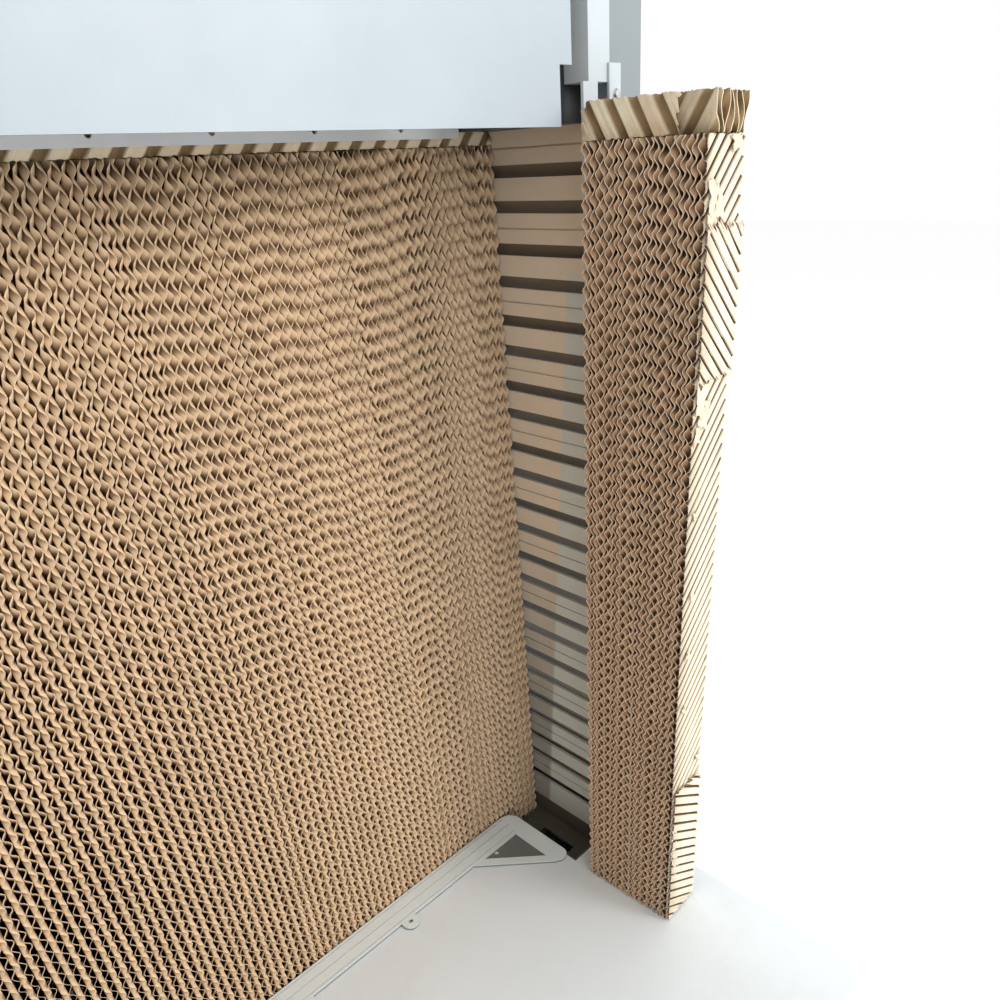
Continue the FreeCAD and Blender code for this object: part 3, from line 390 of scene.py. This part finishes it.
def wander(steps, step_size, generator):
    """A random walk that starts from 0, with spare steps dropped at both ends."""
    spare = 2
    walk = np.cumsum(generator.normal(0, step_size, steps + 2 * spare))
    return walk[spare:spare + steps] - walk[spare]


# A stack's materials: the walls first, then the cut edges, then the skin of a torn outer sheet.
EDGE_SLOT, SKIN_SLOT = 1, 2


class Stack:
    """Fluted sheets stacked along `across`, `deep` from the air face, with flutes climbing along `along`."""

    def __init__(self, corner, across, inward, along, deep, length):
        axes = (np.array(v, float) for v in (corner, across, inward, along))
        self.corner, self.across, self.inward, self.along = axes
        self.deep, self.length = deep, length
        self.points, self.faces, self.slots, self.depths, self.hollows = [], [], [], [], []
        self.count = 0

    def sheet(self, place, lean, phase, period, height, thick, segments, generator, rough, bow=None,
              keep=None, wall_slot=0, profile=np.sin, dark=None):
        """One closed corrugated sheet.

        `keep` says which stretch of each flute line is there. `dark` is one depth for the whole sheet, and so
        one level of painted shade.
        """
        lean_run = abs(lean) * self.deep
        step = period / segments
        start = np.arange(-lean_run - step, self.length + lean_run + step, step)
        if lean > 0:
            start = start[start < self.length]
        else:
            start = start[start > 0]
        rise = lean * self.deep
        at_low = (0 - start) / rise
        at_high = (self.length - start) / rise
        t_low = np.clip(np.minimum(at_low, at_high), 0, 1)
        t_high = np.clip(np.maximum(at_low, at_high), 0, 1)
        if keep is not None:
            t_low, t_high = keep(start, rise, t_low, t_high)
        there = t_high - t_low > 1e-3
        level = profile(2 * np.pi * start / period + phase)
        wave = height * level
        slope = np.gradient(wave, step)
        half = thick / 2 * np.sqrt(1 + slope ** 2)
        ragged = generator.uniform(0, rough, len(start))
        sides = []
        for t, inset in ((t_low, ragged), (t_high, -ragged)):
            for sign in (-1, 1):
                along = start + rise * t
                shift = bow(along, t) if bow is not None else 0.0
                s = place + wave + sign * half + shift
                d = np.clip(self.deep * t + inset, 0, self.deep)
                sides.append(self.corner + np.outer(s, self.across) + np.outer(d, self.inward)
                             + np.outer(along, self.along))
        near_left, near_right, far_left, far_right = sides
        indices = np.nonzero(there)[0]
        if len(indices) < 2:
            return
        runs = np.split(indices, np.nonzero(np.diff(indices) > 1)[0] + 1)
        for run in runs:
            if len(run) < 2:
                continue
            n = len(run)
            block = np.concatenate([near_left[run], near_right[run], far_right[run], far_left[run]])
            base = self.count
            self.points.append(block)
            near, far = (t_low[run], t_high[run]) if dark is None else (np.full(n, dark), np.full(n, dark))
            self.depths.append(np.concatenate([near, near, far, far]))
            self.hollows.append(np.tile(level[run], 4))
            i = np.arange(n - 1)
            rings = [base + k * n + i for k in range(4)]
            quads, slots = [], []
            for k in range(4):
                a, b = rings[k], rings[(k + 1) % 4]
                quads.append(np.stack([a, b, b + 1, a + 1], 1))
                slots.append(np.full(n - 1, EDGE_SLOT if k in (0, 2) else wall_slot))
            caps = np.array([[base, base + 3 * n, base + 2 * n, base + n],
                             [base + n - 1, base + 2 * n - 1, base + 3 * n - 1, base + 4 * n - 1]])
            self.faces.append(np.concatenate([*quads, caps]))
            self.slots.append(np.concatenate([*slots, np.full(2, EDGE_SLOT)]))
            self.count += 4 * n

    def build(self, name, materials):
        masks = {"depth": np.concatenate(self.depths), "hollow": np.concatenate(self.hollows)}
        return piece(name, np.concatenate(self.points), np.concatenate(self.faces), materials,
                     np.concatenate(self.slots), masks)


# A flute's length along its sheet, the pitch of the sheets, their waves and the paper's thickness.
FLUTE, SIDE_FLUTE = 16.0 * MM, 14.3 * MM
PITCH = 5.05 * MM
WAVE, SIDE_WAVE = 2.35 * MM, 2.3 * MM
PAPER, SIDE_PAPER = 0.42 * MM, 0.66 * MM
# How unevenly the cut edges end, and how far the waves of neighbouring sheets drift apart.
FRAY, SIDE_FRAY, TORN_FRAY = 1.1 * MM, 0.7 * MM, 1.5 * MM
DRIFT, SIDE_DRIFT = 0.85, 1.5
FULL_TURN = 6.28


def phases(count, generator, step):
    """Even sheets share one drifting phase and odd sheets another."""
    even = wander(count, step, generator)
    odd = wander(count, step, generator) + generator.uniform(0, 2 * math.pi)
    return np.where(np.arange(count) % 2 == 0, even, odd)


UP = (0, 0, 1)
# Segments in one flute: the far pads, the standing pad, and its outer sheets.
PAD_SEGMENTS, CLOSE_SEGMENTS, SKIN_SEGMENTS = 6, 10, 14


def fluted_pad(name, node, corner, across, inward, wide, deep, seed):
    """A whole cooling pad in the place of its plain CAD block."""
    generator = np.random.default_rng(seed)
    low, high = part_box(node)
    stack = Stack(corner, across, inward, UP, deep, high.z - low.z)
    count = int(wide / PITCH)
    pitch = wide / count
    phase = phases(count, generator, DRIFT)
    for k in range(count):
        lean = 1.0 if k % 2 == 0 else -1.0
        swell = generator.uniform(0.25, 0.5) * MM
        turn = generator.uniform(0, FULL_TURN)

        def bow(along, t, swell=swell, turn=turn):
            return swell * np.sin(along * 9 + turn)
        stack.sheet((k + 0.5) * pitch, lean, phase[k], FLUTE, WAVE, PAPER, PAD_SEGMENTS, generator, FRAY, bow)
    obj = stack.build(name, [rear_paper, rear_edge])
    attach(obj, "cabinet")
    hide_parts(node)


# ------------------------------------------------------------------ cooling pads
low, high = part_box("rear_pad")
fluted_pad("rear_pad_flutes", "rear_pad", low, (1, 0, 0), (0, 1, 0), high.x - low.x, high.y - low.y, 11)
low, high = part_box("left_pad")
fluted_pad("left_pad_flutes", "left_pad", (high.x, low.y, low.z), (0, 1, 0), (-1, 0, 0), high.y - low.y,
           high.x - low.x, 12)

# The side pad that stands on the deck, turned and leaning a little. Its corners come from its CAD block.
LOOSE_TURN, LOOSE_LEAN = math.radians(2.5), math.radians(0.8)
LOOSE = Matrix.Rotation(LOOSE_TURN, 3, "Z") @ Matrix.Rotation(LOOSE_LEAN, 3, "Y")
INWARD, ACROSS, UPWARD = (np.array(LOOSE.col[k]) for k in range(3))
SIDE_WIDE, SIDE_THICK = 125 * MM, 60 * MM
loose_low, loose_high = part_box("right_pad")
LOOSE_TALL = (loose_high.z - loose_low.z + SIDE_THICK * INWARD[2]) / UPWARD[2]
LOOSE_CORNER = np.array((loose_low.x - SIDE_WIDE * ACROSS[0], loose_low.y,
                         loose_low.z - SIDE_THICK * INWARD[2]))


def zone(levels, fray, generator):
    """Keep only stretches of a sheet between levels, with frayed ends."""
    def keep(start, rise, t_low, t_high):
        low_out, high_out = np.ones_like(t_low), np.zeros_like(t_high)
        for bottom, top in levels:
            ragged = generator.normal(0, fray, (2, len(start)))
            a = (bottom + ragged[0] - start) / rise
            b = (top + ragged[1] - start) / rise
            a, b = np.minimum(a, b), np.maximum(a, b)
            a, b = np.maximum(a, t_low), np.minimum(b, t_high)
            chosen = (b > a) & (high_out <= low_out)
            low_out = np.where(chosen, a, low_out)
            high_out = np.where(chosen, b, high_out)
        return low_out, high_out
    return keep


def pressed(floor, sharp):
    """A flute whose outer side is pressed flat, so only narrow grooves are left between flat bands."""
    def profile(angle):
        return np.maximum(0, (np.sin(angle) - floor) / (1 - floor)) ** sharp * 1.6 - 0.6
    return profile


SIDE_SHEETS = 25
# Remains of one more outer sheet: the slope of its flutes, and where each remnant starts and ends.
OVERLAYS = ((-0.66, 0.0, 0.214), (-0.92, 0.688, 0.812))


def loose_pad():
    """The side pad seen closest: more segments, and torn and pressed outer sheets."""
    generator = np.random.default_rng(23)
    stack = Stack(LOOSE_CORNER, ACROSS, INWARD, UPWARD, SIDE_THICK, LOOSE_TALL)
    pitch = SIDE_WIDE / SIDE_SHEETS
    phase = phases(SIDE_SHEETS, generator, SIDE_DRIFT)

    def bow_of(amount):
        turn = generator.uniform(0, FULL_TURN)
        return lambda along, t: amount * np.sin(along * 8 + turn)
    for k in range(1, SIDE_SHEETS):
        lean = 1.0 if k % 2 == 0 else -1.0
        bow = bow_of(generator.uniform(0.2, 0.55) * MM)
        stack.sheet((k + 0.5) * pitch, lean, phase[k], SIDE_FLUTE, SIDE_WAVE, SIDE_PAPER, CLOSE_SEGMENTS,
                    generator, SIDE_FRAY, bow)
    stack.sheet(0.5 * pitch, 1.0, phase[0], SIDE_FLUTE, SIDE_WAVE, PAPER, SKIN_SEGMENTS, generator, TORN_FRAY,
                keep=zone([(0.0, LOOSE_TALL)], 1 * MM, generator), wall_slot=SKIN_SLOT,
                profile=pressed(0.25, 0.9))
    for lean, low, high in OVERLAYS:
        stack.sheet(-0.4 * pitch, lean, phase[1], SIDE_FLUTE, SIDE_WAVE * 0.8, PAPER, SKIN_SEGMENTS, generator,
                    TORN_FRAY, keep=zone([(low, high)], 3 * MM, generator), wall_slot=SKIN_SLOT,
                    profile=pressed(0.62, 0.8))
    obj = stack.build("right_pad_flutes", [side_paper, side_edge, skin_paper])
    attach(obj, "side_pad")
    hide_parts("right_pad")


loose_pad()


# Torn places on the side pad: distance in from the air face, height, width and reach upwards, in mm.
TORN_SPOTS = (
    (8, 672, 15, 26), (14, 655, 13, 18), (5, 640, 9, 14), (20, 664, 9, 13), (10, 834, 15, 22),
    (19, 826, 13, 16), (6, 815, 9, 13), (6, 118, 12, 24), (12, 96, 9, 18), (5, 148, 9, 14), (9, 74, 8, 10),
    (50, 240, 9, 9), (10, 560, 6, 9), (13, 470, 5, 8), (12, 400, 7, 10), (10, 330, 6, 8), (42, 872, 14, 10))
SCRAP_THICK = 0.5


def torn_scraps():
    """Crumpled flaps of paper where the outer sheets of the side pad are torn."""
    generator = np.random.default_rng(41)
    points, faces = [], []
    base = 0
    side = 9
    for inward, high, wide, tall in TORN_SPOTS:
        u, v = np.meshgrid(np.linspace(-1, 1, side), np.linspace(-1, 1, side))
        turn = generator.uniform(0, FULL_TURN, 6)
        around = np.arctan2(v, u)
        reach = 1 + 0.25 * np.sin(3 * around + turn[0]) + 0.15 * np.sin(7 * around + turn[1])
        across = 2.2 * np.sin(3.1 * u + turn[2]) * np.cos(2.7 * v + turn[3])
        across = across + 1.1 * np.sin(6.3 * u + 5.1 * v + turn[4])
        across = -3.2 + 1.3 * (across / 3.3 + 1) + generator.uniform(-0.25, 0.25, u.shape)
        d = np.clip(inward + u * reach * wide / 2, 0.3, 59.7)
        z = high + v * reach * tall / 2
        for lift in (0.0, SCRAP_THICK):
            points.append(LOOSE_CORNER + np.outer((across.ravel() + lift) * MM, ACROSS)
                          + np.outer(d.ravel() * MM, INWARD) + np.outer(z.ravel() * MM, UPWARD))
        i, j = np.meshgrid(np.arange(side - 1), np.arange(side - 1))
        a = (j * side + i).ravel()
        front = np.stack([a, a + 1, a + side + 1, a + side], 1)
        faces.append(base + front)
        faces.append(base + side * side + front[:, ::-1])
        rim = np.concatenate([np.arange(side), side * np.arange(1, side) + side - 1,
                              side * (side - 1) + np.arange(side - 2, -1, -1),
                              side * np.arange(side - 2, 0, -1)])
        after = np.roll(rim, -1)
        faces.append(base + np.stack([rim, rim + side * side, after + side * side, after], 1))
        base += 2 * side * side
    count = sum(len(p) for p in points)
    obj = piece("right_pad_torn_scraps", np.concatenate(points), np.concatenate(faces), [skin_paper],
                masks={"depth": np.zeros(count), "hollow": np.full(count, -0.6)})
    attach(obj, "side_pad")


torn_scraps()


# ------------------------------------------------------------------ distribution pads
CAP_FLUTE, CAP_WAVE, CAP_PITCH = 26 * MM, 3.0 * MM, 7.4 * MM
CAP_PAPER, CAP_FRAY = 0.9 * MM, 1.2 * MM
SIDE_CAP_TALL, SIDE_CAP_FLUTE, SIDE_CAP_WAVE, SIDE_CAP_SEAM = 30 * MM, 24 * MM, 3.2 * MM, 30 * MM


def cap(name, node, corner, axes, size, body, seed, lean, period, height, seam=None):
    """A cream distribution pad.

    Its sheets stand parallel to the air face, so their flutes show as slanted ridges. The axes and the size
    are given along the pad, into it and up. The outermost sheet starts at the seam.
    """
    generator = np.random.default_rng(seed)
    along, inward, upward = axes
    length, deep, tall = size
    stack = Stack(corner, inward, upward, along, tall, length)
    count = max(3, int(deep / CAP_PITCH))
    pitch = deep / count
    for k in range(count):
        tilt = lean if k % 2 == 0 else -lean
        swell = generator.uniform(0.1, 0.4) * MM
        turn = generator.uniform(0, FULL_TURN)

        def bow(along_it, t, swell=swell, turn=turn):
            return swell * np.sin(along_it * 40 + turn + 3 * t)
        phase = generator.uniform(0, FULL_TURN)
        keep = zone([(seam, length)], 1 * MM, generator) if seam is not None and k == 0 else None
        # Sheets further in get more painted shade through dark.
        stack.sheet((k + 0.5) * pitch, tilt, phase, period, height, CAP_PAPER, SKIN_SEGMENTS, generator,
                    CAP_FRAY, bow, keep, profile=pressed(0.1, 0.8) if k < 2 else np.sin,
                    dark=min(0.28, 0.11 * k))
    obj = stack.build(name, [cream_paper, cream_edge])
    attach(obj, body)
    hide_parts(node)


low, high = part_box("rear_cap")
cap("rear_cap_flutes", "rear_cap", low, ((1, 0, 0), (0, 1, 0), UP),
    (high.x - low.x, high.y - low.y, high.z - low.z), "cabinet", 31, 0.8, CAP_FLUTE, CAP_WAVE)
low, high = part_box("left_cap")
cap("left_cap_flutes", "left_cap", (high.x, low.y, low.z), ((0, 1, 0), (-1, 0, 0), UP),
    (high.y - low.y, high.x - low.x, high.z - low.z), "cabinet", 32, 0.8, CAP_FLUTE, CAP_WAVE)
cap("right_cap_flutes", "right_cap", LOOSE_CORNER + UPWARD * LOOSE_TALL, (ACROSS, INWARD, UPWARD),
    (SIDE_WIDE, SIDE_THICK, SIDE_CAP_TALL), "side_pad", 33, 0.6, SIDE_CAP_FLUTE, SIDE_CAP_WAVE, SIDE_CAP_SEAM)


# ------------------------------------------------------------------ drip lips of the louvres
# Points this near the outermost plane belong to a hood's edge, and edges this far apart to different hoods.
SAME_PLANE, HOOD_APART = 0.0002, 0.008


def hood_edges(node, axis, sign):
    """Heights of the hoods' outer lower edges, and the plane they end in, read from the node's mesh."""
    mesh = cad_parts[node].data
    where = np.zeros(len(mesh.vertices) * 3, np.float32)
    mesh.vertices.foreach_get("co", where)
    where = where.reshape(-1, 3)
    outermost = (where[:, axis] * sign).max()
    levels = np.unique(np.round(where[where[:, axis] * sign > outermost - SAME_PLANE, 2], 4))
    starts = np.concatenate([[True], np.diff(levels) > HOOD_APART])
    return outermost * sign, levels[starts]


LIP_END_GAP, LIP_STATIONS = 24 * MM, 25


def drip_lips(node, axis, sign):
    """A turned-down lip with a curled edge under every hood of a louvre, brown as painted shade in the slots.
    """
    plane_at, levels = hood_edges(node, axis, sign)
    along = 1 - axis
    low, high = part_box(node)
    stations = np.linspace(low[along] + LIP_END_GAP, high[along] - LIP_END_GAP, LIP_STATIONS)
    turn = np.linspace(0, math.pi, 7)
    curl, thick, drop = 1.6 * MM, 1.1 * MM, 9 * MM
    path = [(-0.2 * MM, 1.0 * MM), (-0.2 * MM, -drop)]
    path += [(-0.2 * MM - curl * (1 - math.cos(a)), -drop - curl * math.sin(a)) for a in turn[1:]]
    path = np.array(path)
    slope = np.gradient(path, axis=0)
    slope /= np.linalg.norm(slope, axis=1)[:, None]
    inner = path + np.stack([slope[:, 1], -slope[:, 0]], 1) * thick
    ring = np.concatenate([path, inner[::-1]])
    n = len(ring)
    points, faces = [], []
    base = 0
    for level in levels:
        for station in stations:
            ripple = 0.15 * MM * math.sin(station * 37 + level * 11)
            spots = np.zeros((n, 3))
            spots[:, axis] = plane_at + sign * (ring[:, 0] + ripple)
            spots[:, along] = station
            spots[:, 2] = level + ring[:, 1]
            points.append(spots)
        for k in range(LIP_STATIONS - 1):
            for m in range(n):
                a, b = base + k * n + m, base + k * n + (m + 1) % n
                faces.append((a, b, b + n, a + n))
        half = len(path)
        last = base + (LIP_STATIONS - 1) * n
        for m in range(half - 1):
            faces.append((base + m, base + n - 1 - m, base + n - 2 - m, base + m + 1))
            faces.append((last + m, last + m + 1, last + n - 2 - m, last + n - 1 - m))
        base += n * LIP_STATIONS
    obj = piece(f"{node}_drip_lips", np.concatenate(points), faces, [lip_painted_shade])
    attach(obj, "cabinet")


# The lips' brown is painted shade that darkens the louvre slots.
lip_painted_shade = moulded("louvre_lips", srgb(150, 136, 116), dirt=0.3)
drip_lips("louvre_right", 0, 1)
drip_lips("louvre_left", 0, -1)
drip_lips("louvre_rear", 1, 1)


# ------------------------------------------------------------------ screw heads and dial marks
def screw_heads(name, body, spots):
    """Domed screw heads with a cross recess. Each spot is a point on a face and the face's outward axis."""
    # The dome's rings from the face up, and a cross pressed into the rings inside its reach.
    rims = np.array([4.2, 4.2, 3.9, 3.2, 2.6, 2.2, 1.5, 0.9]) * MM
    rises = np.array([-0.4, 0.9, 1.5, 2.1, 2.4, 2.45, 2.5, 2.5]) * MM
    around, recess_reach, recess_deep = 32, 2.3 * MM, 1.0 * MM
    angle = 2 * math.pi * np.arange(around) / around
    cross = np.clip((np.abs(np.cos(2 * angle)) - 0.72) / 0.2, 0, 1)
    points, faces = [], []
    base = 0
    for spot, outward in spots:
        out = Vector(outward)
        side = out.orthogonal().normalized()
        up = out.cross(side)
        spin = rng.uniform(0, 1.5)
        for radius, rise in zip(rims, rises):
            sink = recess_deep * cross if radius < recess_reach else np.zeros(around)
            ring = (np.array(spot) + np.outer(radius * np.cos(angle + spin), side)
                    + np.outer(radius * np.sin(angle + spin), up) + np.outer(rise - sink, out))
            points.append(ring)
        rows = len(rims)
        for k in range(rows - 1):
            for m in range(around):
                a, b = base + k * around + m, base + k * around + (m + 1) % around
                faces.append((a, b, b + around, a + around))
        faces.append(tuple(base + (rows - 1) * around + np.arange(around)))
        faces.append(tuple(base + np.arange(around)[::-1]))
        base += rows * around
    points = np.concatenate(points)
    mesh = bpy.data.meshes.new(name)
    mesh.from_pydata(points.tolist(), [], [[int(v) for v in face] for face in faces])
    mesh.materials.append(steel)
    mesh.update()
    obj = bpy.data.objects.new(name, mesh)
    bpy.context.scene.collection.objects.link(obj)
    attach(obj, body)


def spread(low, high, inset, count):
    return np.linspace(low + inset, high - inset, count)


# How far in from the edges the screws sit.
COVER_EDGE, POST_EDGE, DOOR_EDGE = 16 * MM, 22 * MM, 34 * MM
cover_low, cover_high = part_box("top_cover")
rear_post_low, rear_post_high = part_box("rear_corner_posts")
cabinet_screws = [((x, cover_high.y, cover_low.z + COVER_EDGE), (0, 1, 0))
                  for x in spread(cover_low.x, cover_high.x, 60 * MM, 7)]
for x, outward in ((cover_low.x, (-1, 0, 0)), (cover_high.x, (1, 0, 0))):
    cabinet_screws += [((x, y, cover_low.z + COVER_EDGE), outward)
                       for y in spread(cover_low.y, cover_high.y, 50 * MM, 3)]
for z in spread(rear_post_low.z, rear_post_high.z, 60 * MM, 6):
    cabinet_screws += [((x, rear_post_high.y, z), (0, 1, 0))
                       for x in (rear_post_low.x + POST_EDGE, rear_post_high.x - POST_EDGE)]
screw_heads("cabinet_screw_heads", "cabinet", cabinet_screws)
door_screws = [((DOOR_LOW.x, y, z), (-1, 0, 0)) for y in spread(DOOR_LOW.y, DOOR_HIGH.y, DOOR_EDGE, 4)
               for z in (DOOR_LOW.z + DOOR_EDGE, DOOR_HIGH.z - DOOR_EDGE)]
door_screws += [((DOOR_LOW.x, y, z), (-1, 0, 0)) for y in (DOOR_LOW.y + DOOR_EDGE, DOOR_HIGH.y - DOOR_EDGE)
                for z in spread(DOOR_LOW.z, DOOR_HIGH.z, 240 * MM, 3)]
screw_heads("door_screw_heads", "fan_door", door_screws)


MARK_GAP, LONG_MARK, SHORT_MARK, MARK_HALF_WIDE = 3 * MM, 6 * MM, 4 * MM, 0.7 * MM
# A mark's outlines: how far each rises off the panel in mm, and how much of the full outline it keeps.
MARK_RINGS = ((-0.3, 1.0), (0.45, 1.0), (0.7, 0.6))


def dial_marks(knob, sweep, count):
    """Raised marks round a knob, the longer ones at its ends and middle."""
    low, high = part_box(knob)
    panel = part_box("control_panel")[0].x
    y, z, radius = (low.y + high.y) / 2, (low.z + high.z) / 2, (high.y - low.y) / 2 + MARK_GAP
    points, faces = [], []
    for k in range(count):
        angle = math.radians(90 + sweep / 2 - sweep * k / (count - 1))
        length = LONG_MARK if k in (0, count // 2, count - 1) else SHORT_MARK
        out = np.array((0, math.cos(angle), math.sin(angle)))
        side = np.array((0, -math.sin(angle), math.cos(angle)))
        base = len(points)
        for rise, slim in MARK_RINGS:
            for along, across in ((0, -1), (1, -1), (1, 1), (0, 1)):
                reach = radius + length * (0.5 + (along - 0.5) * slim)
                points.append(np.array((panel - rise * MM, y, z)) + out * reach
                              + side * across * MARK_HALF_WIDE * slim)
        for row in (0, 4):
            for m in range(4):
                a, b = base + row + m, base + row + (m + 1) % 4
                faces.append((a, b, b + 4, a + 4))
        faces.append((base + 8, base + 9, base + 10, base + 11))
        faces.append((base + 3, base + 2, base + 1, base))
    obj = piece(f"{knob}_marks", points, faces, [vane_grey], smooth=False)
    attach(obj, "fan_door")


dial_marks("speed_knob", 180, 7)
dial_marks("timer_knob", 300, 11)


# ------------------------------------------------------------------ stage, light, camera
def plane(name, size, place):
    mesh = bpy.data.meshes.new(name)
    half = size / 2
    corners = [(-half, -half, 0), (half, -half, 0), (half, half, 0), (-half, half, 0)]
    mesh.from_pydata(corners, [], [(0, 1, 2, 3)])
    obj = bpy.data.objects.new(name, mesh)
    obj.location = place
    bpy.context.scene.collection.objects.link(obj)
    return obj


floor = plane("floor", 30, (0, 0, -0.0005))
stage_material = Nodes("pale_floor").finish((0.985, 0.985, 0.985), 0.85)
floor.data.materials.append(stage_material)


def area(name, place, target, size, power, colour=(1, 1, 1)):
    lamp = bpy.data.lights.new(name, "AREA")
    lamp.shape = "DISK"
    lamp.size = size
    lamp.energy = power
    lamp.color = colour
    obj = bpy.data.objects.new(name, lamp)
    obj.location = place
    obj.rotation_euler = (Vector(target) - Vector(place)).to_track_quat("-Z", "Y").to_euler()
    bpy.context.scene.collection.objects.link(obj)


# Lights: where each stands, what it looks at, its width in metres, its power and its colour.
middle = (0.3, 0.4, 0.8)
area("key", (2.2, -3.2, 2.4), middle, 1.8, 88, (1.0, 0.98, 0.95))
area("fill", (-1.4, -3.4, 2.6), middle, 3.0, 25, (0.94, 0.97, 1.0))
area("back", (1.5, 3.5, 3.0), middle, 2.5, 25)
world = bpy.data.worlds.new("studio")
bpy.context.scene.world = world
world.use_nodes = True
world.node_tree.nodes["Background"].inputs["Color"].default_value = (1.0, 1.0, 1.0, 1)
world.node_tree.nodes["Background"].inputs["Strength"].default_value = 1.0
bpy.context.scene.view_settings.view_transform = "Standard"


def camera():
    """The photograph's view: 28 mm, a little below the pads' tops, looking down into the rear right corner."""
    lens = bpy.data.cameras.new("camera")
    lens.lens = 28.0
    lens.sensor_width = 36.0
    lens.shift_x = -0.04
    lens.shift_y = 0.088
    lens.clip_start = 0.01
    # The eye is placed from the cabinet's middle, the front posts and the deck. The next three are its axes.
    eye = Vector((CENTRE_X - 0.072, FRONT_Y - 0.5095, DECK_TOP + 0.866))
    right = Vector((0.68822, -0.72389, -0.04835))
    down = Vector((-0.37745, -0.30034, -0.87597))
    ahead = Vector((0.61959, 0.62111, -0.47994))
    turn = Matrix((right, -down, -ahead)).transposed().to_4x4()
    obj = bpy.data.objects.new("camera", lens)
    obj.matrix_world = Matrix.Translation(eye) @ turn
    bpy.context.scene.collection.objects.link(obj)
    bpy.context.scene.camera = obj


camera()
